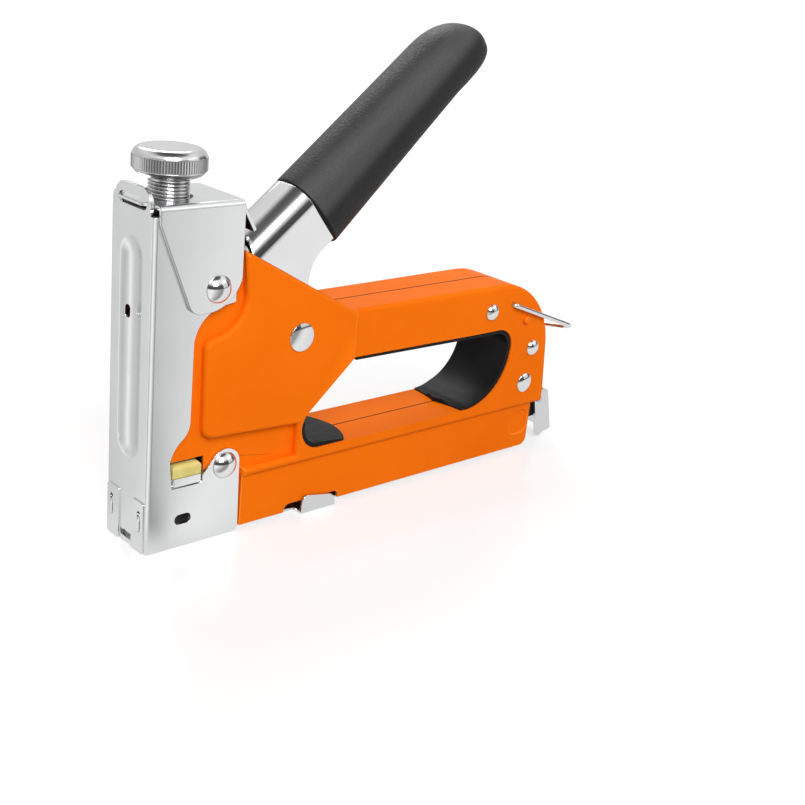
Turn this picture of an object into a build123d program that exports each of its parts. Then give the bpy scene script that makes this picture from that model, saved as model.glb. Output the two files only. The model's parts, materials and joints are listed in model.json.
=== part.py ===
from build123d import *
from math import asin, cos, dist, radians, sin
import os

# Hand tacker: stamped two-shell body, chrome nose, squeeze lever, spring hammer, slide-out magazine.
# Millimetres. X runs from the nose to the rear, Z up, the nose foot is at z = 0, the shells meet at y = 0.

# Sheets and half widths
sheet = 1.2                # chrome nose and cover sheet
shell_t = 1.3              # body shell sheet
nose_half = 11.0           # outside of the nose cheeks
nose_bend = 1.3            # outside radius of the nose's two folds
seat_gap = 0.05            # between sheets that lie on each other
run_gap = 0.05             # radial clearance of a running pin
part_gap = 0.35            # between pieces that move past each other
flange_half = nose_half - sheet - seat_gap
cover_half = nose_half + seat_gap + sheet
panel_half = 12.4          # outside of the raised panel and the bars
panel_round = 1.4          # rolled edge of the panel and the bars
housing_half = 11.2        # outside of the magazine housing
front_x = -0.2             # front face of the nose
pad_out = 0.5              # foot pads stand proud of the front face
groove_half = 5.7          # pressed groove down the front
groove_depth = 0.95
groove_r = (groove_half ** 2 + groove_depth ** 2) / (2 * groove_depth)
groove_from = 33.0         # middle of the groove's lower end
groove_to = 87.0
groove_shoulder = 1.5      # rounding where the groove meets the face

# Heights
tab_top = 106.8            # top of the front plate
cover_top = 103.0
cheek_top = 99.8           # top of the nose cheeks, under the cover
bar_top = 65.2
bar_low = 49.2             # top of the finger hole
lever_slot = 66.0          # rear end of the opening for the lever
hole_low = 21.8            # bottom of the finger hole, top of the lower bar
band_low = 17.8            # lower edge of the band round the lower bar
body_low = 1.4             # lower edge of the shells
housing_end = 162.5        # rear end of the magazine housing

# Power screw, spring and hammer
screw_x = 11.2
screw_r = 6.0
knob_r = 10.6
knob_low = 108.2
knob_h = 7.9
bush_low = 96.6
seat_low = 92.3
spring_wire = 1.9
spring_r = 6.35            # mean radius of the main spring
spring_turns = 6
hammer_low = 26.4
hammer_top = 56.5
hammer_gap = 0.45          # hammer to the shells' recessed front
hammer_half = flange_half - shell_t - hammer_gap
blade_w = 11.4
blade_t = 1.1
blade_x = front_x + sheet + part_gap

# Lever
pivot_x = 51.4
pivot_z = 59.7
pivot_r = 3.0
lever_tilt = 38.4          # lever above the horizontal, released
lever_swing = 38.0
lever_half = 9.0
lever_t = 1.4
lever_top = 35.3           # lever back, measured square from the pivot
lever_round = 7.4          # rounding of the lever's back
arm_len = 30.0             # pivot to lifting tip
tip_r = 3.0
grip_from = 27.5
grip_to = 113.0
grip_half = 10.3
grip_round = 5.6

# Magazine
rail_low = 0.2
rail_t = 0.9
rail_front = 3.2
core_half = 4.4            # half width of the rail's core
channel_half = 7.1
channel_top = 17.8
channel_t = 1.0
rod_r = 1.5
rod_z = 6.5
push_wire = 0.7
push_r = 2.45              # mean radius of the pusher spring
push_turns = 24
pusher_x = 10.6
pusher_len = 14.0
wing_from = 55.5
wing_to = 69.5
block_from = 163.3
block_to = 174.3
block_half = 6.0
latch_half = 7.5
latch_t = 1.2
latch_pin_x = 171.6
latch_pin_z = 16.2
latch_wire = 0.5
latch_rise = 6.9           # length of the latch spring
latch_turns = 5

# Wire bail
bail_x = 145.0
bail_z = 57.7
bail_r = 0.85
bail_len = 36.5
bail_drop = 20.5           # near leg below the horizontal, at rest
bail_twist = 5.5           # far leg hangs this much lower
bail_half = panel_half + 0.25 + bail_r
bail_turn = 5.5            # rounding of the loop's two corners

# Finger guard
guard_half = panel_half - 0.5
guard_t = 1.5
neck_half = 6.0            # narrow stretch behind the panel
tongue_end = 76.8          # front end of the bare stretch of the lower bar
saddle_end = 125.0         # rear end of it

# Rivets through the shells: centre x, centre z, head radius, height of the dome
cover_rivet = (20.7, 78.2, 4.2, 2.2)
nose_rivet = (26.5, 22.9, 4.2, 2.2)
rear_rivets = [(134.6, 56.3, 2.8, 1.4), (157.9, 40.1, 3.0, 1.5)]
tail_rivet = (155.9, 27.1, 3.6, 1.1)
rivet_r = 2.0
rivet_rim = 0.3            # straight edge below the dome

lever_plane = Plane(
    origin=(pivot_x, 0, pivot_z),
    x_dir=(cos(radians(lever_tilt)), 0, sin(radians(lever_tilt))),
    z_dir=(0, -1, 0),
)
arm_angle = radians(180 + lever_swing / 2)
arm_plane = Plane(
    origin=(pivot_x, 0, pivot_z),
    x_dir=(cos(arm_angle), 0, sin(arm_angle)),
    z_dir=(0, -1, 0),
)
tip_z = pivot_z + arm_len * sin(arm_angle)

os.makedirs("parts", exist_ok=True)


def domed_head(x, z, head_r, dome_h, face_y):
    """Rivet head on the -Y side, its flat against y = -face_y, in the part that is open."""
    ball_r = (head_r ** 2 + dome_h ** 2) / (2 * dome_h)
    half_turn = asin(head_r / ball_r) / 2
    top = -rivet_rim - dome_h
    with BuildSketch(Plane((x, -face_y, z))) as profile:
        with BuildLine():
            Polyline((0, top), (0, 0), (head_r, 0), (head_r, -rivet_rim))
            ThreePointArc((head_r, -rivet_rim),
                          (ball_r * sin(half_turn), top + ball_r * (1 - cos(half_turn))), (0, top))
        make_face()
    revolve(profile.sketch, axis=Axis((x, -face_y, z), (0, 1, 0)))


def coil_gap(path, wire, turns, steps=36):
    """Least gap between the turns of a coil, measured on points along its middle line."""
    points = [tuple(path @ (i / (turns * steps))) for i in range(turns * steps + 1)]
    pairs = ((a, b) for i, a in enumerate(points) for b in points[i + steps // 2:])
    return min(dist(a, b) for a, b in pairs) - wire


# Outline of the finger hole, shared by the shells and the guard
with BuildSketch(Plane.XZ) as finger_hole:
    with BuildLine():
        Line((73.0, bar_low), (56.0, 34.2))
        ThreePointArc((56.0, 34.2), (54.6, 26.2), (62.0, hole_low))
        Line((62.0, hole_low), (127.5, hole_low))
        ThreePointArc((127.5, hole_low), (139.6, 26.7), (146.4, 40.0))
        ThreePointArc((146.4, 40.0), (145.3, 46.2), (139.8, bar_low))
        Line((140.6, bar_low), (73.0, bar_low))
    make_face()
    fillet(finger_hole.vertices().group_by(Axis.Z)[-1].sort_by(Axis.X)[0], 2.5)

# Nose: one sheet folded round the front, open to the rear
with BuildPart() as nose_plate:
    with BuildSketch(Plane.XZ):
        with BuildLine():
            Polyline((front_x, 0), (30.2, 0))
            RadiusArc((30.2, 0), (32.2, 2.0), -2.0)
            Line((32.2, 2.0), (31.8, 22.9))
            ThreePointArc((31.8, 22.9), (27.6, 28.1), (22.4, 25.8))
            Polyline((22.4, 25.8), (18.6, 21.4), (18.6, 19.1), (8.0, 19.1), (7.2, 27.6))
            ThreePointArc((7.2, 27.6), (8.6, 31.2), (10.9, 33.8))
            ThreePointArc((10.9, 33.8), (13.2, 36.8), (13.7, 40.0))
            Line((13.7, 40.0), (13.9, 62.5))
            ThreePointArc((13.9, 62.5), (17.2, 69.6), (24.0, 72.8))
            Polyline((24.0, 72.8), (27.6, 73.4), (27.6, cheek_top), (front_x, cheek_top), (front_x, 0))
        make_face()
    extrude(amount=nose_half, both=True)
    fillet(nose_plate.edges().filter_by(Axis.Z).group_by(Axis.X)[0], nose_bend)
    with BuildSketch(Plane.XY.offset(-1)):
        with Locations((front_x + sheet, 0)):
            Rectangle(60, 2 * (nose_half - sheet), align=(Align.MIN, Align.CENTER))
        fillet(vertices().group_by(Axis.X)[0], nose_bend - 1.0)
    extrude(amount=120, mode=Mode.SUBTRACT)
    with BuildSketch(Plane.YZ.offset(front_x)):
        with Locations((0, 96)):
            Rectangle(2 * nose_half - 4.0, tab_top - 96, align=(Align.CENTER, Align.MIN))
        fillet(vertices().group_by(Axis.Y)[-1], 4.6)
    extrude(amount=sheet)
    with BuildSketch(Plane.YZ.offset(front_x - 1)):
        with Locations((0, 102.3)):
            SlotOverall(14.0, 3.0)
        with Locations((2.6, 70.5)):
            SlotOverall(3.8, 2.2, rotation=90)
        with Locations((0, 2.6)):
            RectangleRounded(6.4, 2.2, 0.6)
    extrude(amount=sheet + 2, mode=Mode.SUBTRACT)
    with Locations((front_x + groove_depth - groove_r, 0, groove_from)):
        Cylinder(groove_r, groove_to - groove_from, align=(Align.CENTER, Align.CENTER, Align.MIN),
                 mode=Mode.SUBTRACT)
    for groove_end in (groove_from, groove_to):
        with Locations((front_x + groove_depth - groove_r, 0, groove_end)):
            Sphere(groove_r, mode=Mode.SUBTRACT)
    front_face = nose_plate.faces().filter_by(Axis.X).sort_by(Axis.X)[0]
    groove_rim = front_face.inner_wires().sort_by(SortBy.LENGTH)[-1]
    fillet(groove_rim.edges(), groove_shoulder)
    with BuildSketch(Plane.YZ.offset(front_x)):
        for side in (-1, 1):
            with Locations((side * (3.5 + nose_half - nose_bend) / 2, 8.0)):
                RectangleRounded(nose_half - nose_bend - 3.5, 16.0, 0.6)
    extrude(amount=-pad_out)
    with BuildSketch(Plane.YZ.offset(front_x - pad_out)):
        for side in (-1, 1):
            with Locations((side * 7.4, 9.8)):
                SlotOverall(6.6, 1.6, rotation=90)
    extrude(amount=pad_out + 0.4, mode=Mode.SUBTRACT)
    with BuildSketch(Plane.XZ):
        with Locations((12.2, 8.9)):
            SlotOverall(5.6, 3.2)
        with Locations(cover_rivet[:2], nose_rivet[:2]):
            Circle(rivet_r)
    extrude(amount=20, both=True, mode=Mode.SUBTRACT)
nose_plate.part.label = "nose_plate"
export_step(nose_plate.part, "parts/nose_plate.step")

# Cover: folded cap over the top of the nose, with a hooked front tongue and a sloping tail
with BuildPart() as top_cover:
    with BuildSketch(Plane.XZ):
        with BuildLine():
            Polyline((front_x + sheet + 0.1, cover_top), (1.2, 98.0), (11.2, 74.0))
            ThreePointArc((11.2, 74.0), (13.2, 71.9), (16.2, 71.6))
            ThreePointArc((16.2, 71.6), (24.4, 74.2), (28.6, 80.6))
            Polyline((28.6, 80.6), (28.6, cover_top), (front_x + sheet + 0.1, cover_top))
        make_face()
    extrude(amount=cover_half, both=True)
    fillet(top_cover.faces().sort_by(Axis.Z)[-1].edges().filter_by(Axis.X), 1.6)
    with BuildSketch(Plane.YZ.offset(-1)):
        with Locations((0, 60)):
            Rectangle(2 * (cover_half - sheet), cover_top - sheet - 60, align=(Align.CENTER, Align.MIN))
    extrude(amount=40, mode=Mode.SUBTRACT)
    with BuildSketch(Plane.XZ):
        with BuildLine():
            Polyline((28.0, cover_top), (28.6, cover_top), (34.0, 93.7), (33.0, 93.1), (28.0, 101.8),
                     (28.0, cover_top))
        make_face()
    extrude(amount=10.4, both=True)
    with BuildSketch(Plane.XZ):
        with BuildLine():
            Polyline((2.0, cover_top), (-1.3, cover_top), (-1.3, 101.3), (-0.5, 101.3),
                     (-0.5, cover_top - sheet), (2.0, cover_top - sheet), (2.0, cover_top))
        make_face()
    extrude(amount=6.2, both=True)
    with BuildSketch(Plane.XY.offset(90)):
        with Locations((screw_x, 0)):
            Circle(screw_r + 0.6)
    extrude(amount=20, mode=Mode.SUBTRACT)
    with BuildSketch(Plane.XZ):
        with Locations(cover_rivet[:2]):
            Circle(rivet_r)
    extrude(amount=20, both=True, mode=Mode.SUBTRACT)
top_cover.part.label = "top_cover"
export_step(top_cover.part, "parts/top_cover.step")

# Left shell: raised panel and bars, recessed front, magazine housing, open along the seam
with BuildPart() as left_shell:
    with BuildSketch(Plane.XZ):
        with BuildLine():
            Polyline((29.4, 88.6), (72.0, bar_top), (139.0, bar_top))
            TangentArc((139.0, bar_top), (165.8, 40.85), tangent=(1, 0))
            Polyline((165.8, 40.85), (167.5, 23.0), (167.5, band_low), (32.6, band_low), (32.6, 20.8),
                     (52.6, 20.8), (52.6, 31.2), (21.0, 32.8))
            RadiusArc((21.0, 32.8), (17.6, 36.4), 3.5)
            Line((17.6, 36.4), (17.3, 60.4))
            RadiusArc((17.3, 60.4), (20.4, 63.8), 3.4)
            ThreePointArc((20.4, 63.8), (28.0, 67.4), (30.9, 75.2))
            Line((30.9, 75.2), (29.4, 88.6))
        make_face()
    extrude(amount=panel_half)
    fillet(left_shell.faces().sort_by(Axis.Y)[0].edges(), panel_round)
    # Hollow with an open top for the lever, leaving a rim round the finger hole
    with BuildSketch(Plane.XZ.offset(-1)):
        with BuildLine():
            Polyline((32.3, 95.0), (lever_slot, 78.0), (lever_slot, 67.0), (71.7, bar_top - shell_t),
                     (139.0, bar_top - shell_t))
            TangentArc((139.0, bar_top - shell_t), (164.5, 40.72), tangent=(1, 0))
            Polyline((164.5, 40.72), (166.2, 23.0), (166.2, 19.2), (54.0, 19.2), (54.0, 32.5), (22.4, 34.1))
            Polyline((22.4, 34.1), (18.9, 37.0), (18.7, 60.2), (21.4, 62.6))
            ThreePointArc((21.4, 62.6), (29.2, 66.8), (32.3, 75.2))
            Line((32.3, 75.2), (32.3, 95.0))
        make_face()
        add(offset(finger_hole.sketch_local, amount=shell_t, mode=Mode.PRIVATE), mode=Mode.SUBTRACT)
    extrude(amount=1 + panel_half - shell_t, mode=Mode.SUBTRACT)
    with BuildSketch(Plane.XZ):
        add(finger_hole.sketch_local)
    extrude(amount=30, mode=Mode.SUBTRACT)
    # Recessed front inside the nose, then the magazine housing below the bars
    with BuildSketch(Plane.XZ.offset(flange_half - shell_t)):
        Polygon((6.0, 34.0), (6.0, 95.0), (27.8, 95.0), (28.2, 89.2), (56.0, 73.9), (60.0, 40.0),
                (60.0, body_low), (19.6, body_low), (19.6, 27.0), (8.4, 27.0), (8.4, 30.0), align=None)
        Polygon((31.0, 92.0), (33.0, 74.0), (28.0, 62.0), (23.0, 60.0), (23.0, 38.0), (51.0, 36.0),
                (57.0, 37.0), (75.0, 52.0), (75.0, 92.0), align=None, mode=Mode.SUBTRACT)
        add(offset(finger_hole.sketch_local, amount=0.5, mode=Mode.PRIVATE), mode=Mode.SUBTRACT)
    extrude(amount=shell_t)
    with BuildSketch(Plane.XZ.offset(housing_half - shell_t)):
        with BuildLine():
            Polyline((32.7, body_low), (housing_end - 3.0, body_low))
            RadiusArc((housing_end - 3.0, body_low), (housing_end, body_low + 3.0), -3.0)
            Polyline((housing_end, body_low + 3.0), (housing_end, 20.0), (32.7, 20.0), (32.7, body_low))
        make_face()
    extrude(amount=shell_t)
    with BuildSketch(Plane.XZ.offset(-1)):
        Polygon((-5.0, -5.0), (-5.0, 110.0), (33.0, 110.0), (33.0, 60.0), (53.0, 33.0), (53.0, -5.0),
                align=None)
    extrude(amount=1 + flange_half - shell_t, mode=Mode.SUBTRACT)
    with BuildSketch(Plane.XZ.offset(-1)):
        Polygon((34.0, -5.0), (34.0, 20.4), (175.0, 20.4), (175.0, -5.0), align=None)
    extrude(amount=1 + housing_half - shell_t, mode=Mode.SUBTRACT)
    # Finger room for the magazine tabs, thumb dimple, rivet and bail holes, bail rest
    with BuildSketch(Plane.XZ):
        with Locations(((wing_from + wing_to) / 2 - 1.5, body_low)):
            RectangleRounded(wing_to - wing_from + 8.0, 5.2, 2.0)
        with Locations(cover_rivet[:2], nose_rivet[:2], tail_rivet[:2]):
            Circle(rivet_r)
        with Locations(*[rivet[:2] for rivet in rear_rivets]):
            Circle(rivet_r)
        with Locations((pivot_x, pivot_z)):
            Circle(pivot_r)
        with Locations((bail_x, bail_z)):
            Circle(bail_r + run_gap)
    extrude(amount=30, mode=Mode.SUBTRACT)
    with BuildSketch(Plane.XZ.offset(housing_half - 0.5)):
        with Locations((157.0, 11.2)):
            RectangleRounded(9.0, 9.0, 3.0)
    extrude(amount=1, mode=Mode.SUBTRACT)
    with BuildSketch(Plane.XZ.offset(panel_half - 0.2)):
        with Locations((152.2, 51.4)):
            Circle(1.5)
    extrude(amount=1.6, taper=12)
left_shell.part.label = "left_shell"
export_step(left_shell.part, "parts/left_shell.step")

with BuildPart() as right_shell:
    mirror(left_shell.part, about=Plane.XZ)
right_shell.part.label = "right_shell"
export_step(right_shell.part, "parts/right_shell.step")

# Finger guard: soft lining of the finger hole, its two ends lie on the lower bar
with BuildPart() as finger_guard:
    with BuildSketch(Plane.XZ):
        add(offset(finger_hole.sketch_local, amount=-seat_gap, mode=Mode.PRIVATE))
        guard_inside = offset(finger_hole.sketch_local, amount=-seat_gap - guard_t, mode=Mode.PRIVATE)
        add(guard_inside, mode=Mode.SUBTRACT)
    extrude(amount=guard_half, both=True)
    with BuildSketch(Plane.XY.offset(hole_low - 1)):
        with BuildLine():
            ThreePointArc((tongue_end, 0), (tongue_end - 1.5, 0.55 * guard_half),
                          (tongue_end - 5.8, guard_half + 1.0))
            Line((tongue_end - 5.8, guard_half + 1.0), (saddle_end, guard_half + 1.0))
            RadiusArc((saddle_end, guard_half + 1.0), (saddle_end - 2.2, 0), 40.0)
            mirror(about=Plane.XZ)
        make_face()
    extrude(amount=guard_t + 1.5, mode=Mode.SUBTRACT)
    for side in (-1, 1):
        with BuildSketch(Plane.XZ.offset(side * neck_half)):
            Polygon((48.0, 31.0), (60.0, 31.0), (74.5, 45.0), (74.5, 52.0), (48.0, 52.0), align=None)
        extrude(amount=side * 10, mode=Mode.SUBTRACT)
finger_guard.part.label = "finger_guard"
export_step(finger_guard.part, "parts/finger_guard.step")

# Guide block under the bumper, and the bumper the hammer lands on
with BuildPart() as guide_block:
    with Locations((2.9, 0, channel_top)):
        Box(16.3, 2 * (nose_half - sheet) - 0.2, 4.2, align=(Align.MIN, Align.CENTER, Align.MIN))
    with Locations((8.7, 0, 19.4)):
        Box(9.6, 2 * nose_half - 0.3, 2.6, align=(Align.MIN, Align.CENTER, Align.MIN))
guide_block.part.label = "guide_block"
export_step(guide_block.part, "parts/guide_block.step")

with BuildPart() as bumper:
    with Locations((8.4, 0, channel_top + 4.2)):
        Box(10.0, 2 * nose_half - 0.5, 4.0, align=(Align.MIN, Align.CENTER, Align.MIN))
    chamfer(bumper.faces().sort_by(Axis.Z)[-1].edges(), 0.9)
bumper.part.label = "bumper"
export_step(bumper.part, "parts/bumper.step")

# Hammer: block with a rear slot for the lifting tip, and the driver blade on its front
with BuildPart() as hammer:
    with Locations((blade_x + blade_t, 0, hammer_low)):
        Box(19.0 - blade_x - blade_t, 2 * hammer_half, hammer_top - hammer_low,
            align=(Align.MIN, Align.CENTER, Align.MIN))
    with Locations((19.0, 0, 42.5)):
        Box(6.0, 2 * hammer_half - 4.0, 15.0, align=(Align.MIN, Align.CENTER, Align.MIN))
    fillet(hammer.edges().filter_by(Axis.Z).group_by(Axis.X)[-1], 1.5)
    with Locations((17.8, 0, tip_z)):
        Box(20.0, 40.0, 2 * (tip_r + 0.4), align=(Align.MIN, Align.CENTER, Align.CENTER), mode=Mode.SUBTRACT)
hammer.part.label = "hammer"
export_step(hammer.part, "parts/hammer.step")

with BuildPart() as driver_blade:
    with BuildSketch(Plane.YZ.offset(blade_x)):
        with Locations((0, 0.4)):
            Rectangle(blade_w, 30.0, align=(Align.CENTER, Align.MIN))
        with Locations((0, 30.0)):
            Rectangle(blade_w + 3.0, 16.0, align=(Align.CENTER, Align.MIN))
    extrude(amount=blade_t)
driver_blade.part.label = "driver_blade"
export_step(driver_blade.part, "parts/driver_blade.step")

# Main spring between the hammer and the seat
spring_from = hammer_top + spring_wire / 2 + seat_gap
spring_rise = seat_low - hammer_top - spring_wire - 2 * seat_gap
with BuildPart() as main_spring:
    with BuildLine() as spring_path:
        Helix(pitch=spring_rise / spring_turns, height=spring_rise, radius=spring_r,
              center=(screw_x, 0, spring_from))
    with BuildSketch(Plane(spring_path.line @ 0, z_dir=spring_path.line % 0)):
        Circle(spring_wire / 2)
    sweep(path=spring_path.line, is_frenet=True)
print("main_spring least gap", round(coil_gap(spring_path.line, spring_wire, spring_turns), 2))
main_spring.part.label = "main_spring"
export_step(main_spring.part, "parts/main_spring.step")

# Seat pressed down by the screw, with a stem inside the spring
with BuildPart() as spring_seat:
    with Locations((screw_x, 0, seat_low)):
        Cylinder(7.4, 2.7, align=(Align.CENTER, Align.CENTER, Align.MIN))
    with Locations((screw_x, 0, seat_low - 6.0)):
        Cylinder(4.2, 6.0, align=(Align.CENTER, Align.CENTER, Align.MIN))
    chamfer(spring_seat.faces().sort_by(Axis.Z)[0].edges(), 0.8)
    with Locations((screw_x, 0, seat_low + 0.9)):
        Cylinder(3.0 + run_gap, 5.0, align=(Align.CENTER, Align.CENTER, Align.MIN), mode=Mode.SUBTRACT)
spring_seat.part.label = "spring_seat"
export_step(spring_seat.part, "parts/spring_seat.step")

with BuildPart() as threaded_bush:
    with Locations((screw_x, 0, bush_low)):
        Box(16.4, 2 * (nose_half - sheet) - 0.6, cover_top - sheet - bush_low,
            align=(Align.CENTER, Align.CENTER, Align.MIN))
        Cylinder(screw_r + run_gap, 20.0, mode=Mode.SUBTRACT)
threaded_bush.part.label = "threaded_bush"
export_step(threaded_bush.part, "parts/threaded_bush.step")

# Power screw and its knob
with BuildPart() as power_screw:
    with Locations((screw_x, 0, seat_low + 2.9)):
        Cylinder(screw_r, knob_low - seat_low - 2.9, align=(Align.CENTER, Align.CENTER, Align.MIN))
    chamfer(power_screw.faces().sort_by(Axis.Z)[0].edges(), 0.6)
    with Locations((screw_x, 0, seat_low + 1.0)):
        Cylinder(3.0, 3.0, align=(Align.CENTER, Align.CENTER, Align.MIN))
    with Locations((screw_x, 0, knob_low)):
        Cylinder(4.0, 5.0, align=(Align.CENTER, Align.CENTER, Align.MIN))
power_screw.part.label = "power_screw"
export_step(power_screw.part, "parts/power_screw.step")

with BuildPart() as knob:
    with BuildSketch(Plane((screw_x, 0, knob_low), x_dir=(1, 0, 0), z_dir=(0, -1, 0))):
        Polygon((4.0, 0.0), (knob_r - 2.0, 0.0), (knob_r, 1.7), (knob_r, knob_h - 1.8),
                (knob_r - 1.5, knob_h), (0.0, knob_h), (0.0, 5.0), (4.0, 5.0), align=None)
    revolve(axis=Axis((screw_x, 0, 0), (0, 0, 1)))
knob.part.label = "knob"
export_step(knob.part, "parts/knob.step")

# Lever: round-backed channel on the pivot, its tang runs into the grip
with BuildPart() as lever:
    with BuildSketch(lever_plane):
        with BuildLine():
            Polyline((5.5, lever_top), (grip_from, lever_top), (grip_from, 14.4), (21.0, 14.4))
            ThreePointArc((21.0, 14.4), (15.2, 11.9), (12.0, 8.6))
            Line((12.0, 8.6), (8.6, 0.0))
            ThreePointArc((8.6, 0.0), (0.0, -8.6), (-8.0, 3.2))
            Polyline((-8.0, 3.2), (1.0, 28.0), (5.5, lever_top))
        make_face()
    extrude(amount=lever_half, both=True)
    back_face = lever.faces().sort_by(lever_plane.location.y_axis)[-1]
    fillet(back_face.edges().filter_by(lever_plane.location.x_axis), lever_round)
    with BuildSketch(Plane(lever_plane.from_local_coords((-20.0, 0, 0)), x_dir=(0, 1, 0),
                           z_dir=lever_plane.x_dir)):
        with Locations((0, lever_top - lever_t)):
            Rectangle(2 * (lever_half - lever_t), lever_top + 20.0, align=(Align.CENTER, Align.MAX))
        fillet(vertices().group_by(Axis.Y)[-1], lever_round - lever_t)
    extrude(amount=20.0 + grip_from - 1.0, mode=Mode.SUBTRACT)
    with BuildSketch(lever_plane):
        Polygon((grip_from - 1.0, 18.0), (grip_from - 1.0, 31.5), (94.0, 31.0), (94.0, 20.5), align=None)
    extrude(amount=6.6, both=True)
    with BuildSketch(lever_plane):
        Circle(pivot_r + run_gap)
        with Locations((4.0, 16.0)):
            Circle(2.5)
    extrude(amount=20, both=True, mode=Mode.SUBTRACT)
lever.part.label = "lever"
export_step(lever.part, "parts/lever.step")

# Lifting arm inside the lever, its cross pin and the spacers beside it
with BuildPart() as lift_arm:
    with BuildSketch(arm_plane):
        Circle(8.0)
        Polygon((0.0, -7.0), (arm_len - 3.0, -2.0), (arm_len - 3.0, 2.0), (0.0, 7.0), align=None)
        with Locations((arm_len, 0)):
            Circle(tip_r)
        with Locations((arm_len - 2.0, 0)):
            Rectangle(4.0, 4.0)
    with BuildSketch(lever_plane):
        with Locations((4.0, 16.0)):
            Circle(5.0)
        Polygon((-7.5, 2.0), (-0.8, 16.8), (8.8, 16.0), (7.8, 0.0), align=None)
    extrude(amount=3.0, both=True)
    with BuildSketch(lever_plane):
        Circle(pivot_r + run_gap)
        with Locations((4.0, 16.0)):
            Circle(2.5)
    extrude(amount=20, both=True, mode=Mode.SUBTRACT)
lift_arm.part.label = "lift_arm"
export_step(lift_arm.part, "parts/lift_arm.step")

with BuildPart() as arm_pin:
    with BuildSketch(lever_plane):
        with Locations((4.0, 16.0)):
            Circle(2.5)
    extrude(amount=lever_half, both=True)
arm_pin.part.label = "arm_pin"
export_step(arm_pin.part, "parts/arm_pin.step")

with BuildPart() as pivot_spacers:
    for side in (-1, 1):
        with BuildSketch(Plane((pivot_x, side * 3.0, pivot_z), x_dir=(1, 0, 0), z_dir=(0, side, 0))):
            Circle(5.0)
            Circle(pivot_r + run_gap, mode=Mode.SUBTRACT)
        extrude(amount=lever_half - lever_t - 3.0)
pivot_spacers.part.label = "pivot_spacers"
export_step(pivot_spacers.part, "parts/pivot_spacers.step")

with BuildPart() as lever_pivot:
    with BuildSketch(Plane.XZ):
        with Locations((pivot_x, pivot_z)):
            Circle(pivot_r)
    extrude(amount=panel_half, both=True)
    for side in (-1, 1):
        with BuildSketch(Plane((pivot_x, side * panel_half, pivot_z), x_dir=(1, 0, 0), z_dir=(0, side, 0))):
            Circle(4.5)
        extrude(amount=1.0)
    chamfer(lever_pivot.faces().sort_by(Axis.Y)[0].edges(), 0.5)
    chamfer(lever_pivot.faces().sort_by(Axis.Y)[-1].edges(), 0.5)
lever_pivot.part.label = "lever_pivot"
export_step(lever_pivot.part, "parts/lever_pivot.step")

# Rubber grip on the lever's tang
with BuildPart() as grip:
    with BuildSketch(lever_plane):
        with BuildLine():
            Line((grip_from, 36.2), (90.0, 35.4))
            ThreePointArc((90.0, 35.4), (105.0, 32.0), (grip_to, 23.0))
            ThreePointArc((grip_to, 23.0), (111.6, 18.2), (106.0, 16.2))
            Line((106.0, 16.2), (grip_from, 14.0))
            Line((grip_from, 14.0), (grip_from, 36.2))
        make_face()
    extrude(amount=grip_half, both=True)
    grip_sides = grip.faces().sort_by(Axis.Y)[0].edges() + grip.faces().sort_by(Axis.Y)[-1].edges()
    fillet(grip_sides.filter_by(lever_plane.location.y_axis, reverse=True), grip_round)
    with BuildSketch(lever_plane):
        Polygon((grip_from - 1.0, 18.0), (grip_from - 1.0, 31.5), (94.0, 31.0), (94.0, 20.5), align=None)
    extrude(amount=6.6, both=True, mode=Mode.SUBTRACT)
grip.part.label = "grip"
export_step(grip.part, "parts/grip.step")

# Wire bail that hooks over the closed grip
def leg_end(drop, y):
    """End of a bail leg that hangs by drop."""
    return Vector(bail_x + bail_len * cos(radians(drop)), y, bail_z - bail_len * sin(radians(drop)))


def rounded_wire(points, radii):
    """Straight runs through the points with an arc at each inner one, in the line that is open."""
    start = points[0]
    for before, corner, after, radius in zip(points, points[1:], points[2:], radii):
        come, go = (corner - before).normalized(), (after - corner).normalized()
        half_turn = radians(come.get_angle(go)) / 2
        reach = radius * sin(half_turn) / cos(half_turn)
        bow = (go - come).normalized() * (radius / cos(half_turn) - radius)
        Line(start, corner - come * reach)
        ThreePointArc(corner - come * reach, corner + bow, corner + go * reach)
        start = corner + go * reach
    Line(start, points[-1])


with BuildPart() as bail:
    with BuildLine() as bail_path:
        rounded_wire([Vector(bail_x, -10.4, bail_z), Vector(bail_x, -bail_half, bail_z),
                      leg_end(bail_drop, -bail_half), leg_end(bail_drop + bail_twist, bail_half),
                      Vector(bail_x, bail_half, bail_z), Vector(bail_x, 10.4, bail_z)],
                     [1.1, bail_turn, bail_turn, 1.1])
    with BuildSketch(Plane(bail_path.line @ 0, z_dir=bail_path.line % 0)):
        Circle(bail_r)
    sweep(path=bail_path.line)
bail.part.label = "bail"
export_step(bail.part, "parts/bail.step")

# Fixed staple channel, hung from the rivets by four ears
with BuildPart() as staple_channel:
    with BuildSketch(Plane.YZ.offset(2.9)):
        with Locations((0, 1.8)):
            Rectangle(2 * channel_half, channel_top - 1.8, align=(Align.CENTER, Align.MIN))
        with Locations((0, 0)):
            Rectangle(2 * (channel_half - channel_t), channel_top - channel_t,
                      align=(Align.CENTER, Align.MIN), mode=Mode.SUBTRACT)
    extrude(amount=157.1)
    for side in (-1, 1):
        ear_y = side * (channel_half - channel_t)
        with BuildSketch(Plane((0, ear_y, 0), x_dir=(1, 0, 0), z_dir=(0, side, 0))) as ears:
            for ear_x, ear_z in (nose_rivet[:2], tail_rivet[:2]):
                with Locations((ear_x, -side * ear_z)):
                    Circle(4.0)
                with Locations((ear_x, -side * (channel_top - 1 + ear_z) / 2)):
                    Rectangle(8.0, ear_z - channel_top + 1)
        extrude(amount=channel_t)
    with BuildSketch(Plane.XZ):
        with Locations(nose_rivet[:2], tail_rivet[:2]):
            Circle(rivet_r)
    extrude(amount=20, both=True, mode=Mode.SUBTRACT)
staple_channel.part.label = "staple_channel"
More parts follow.
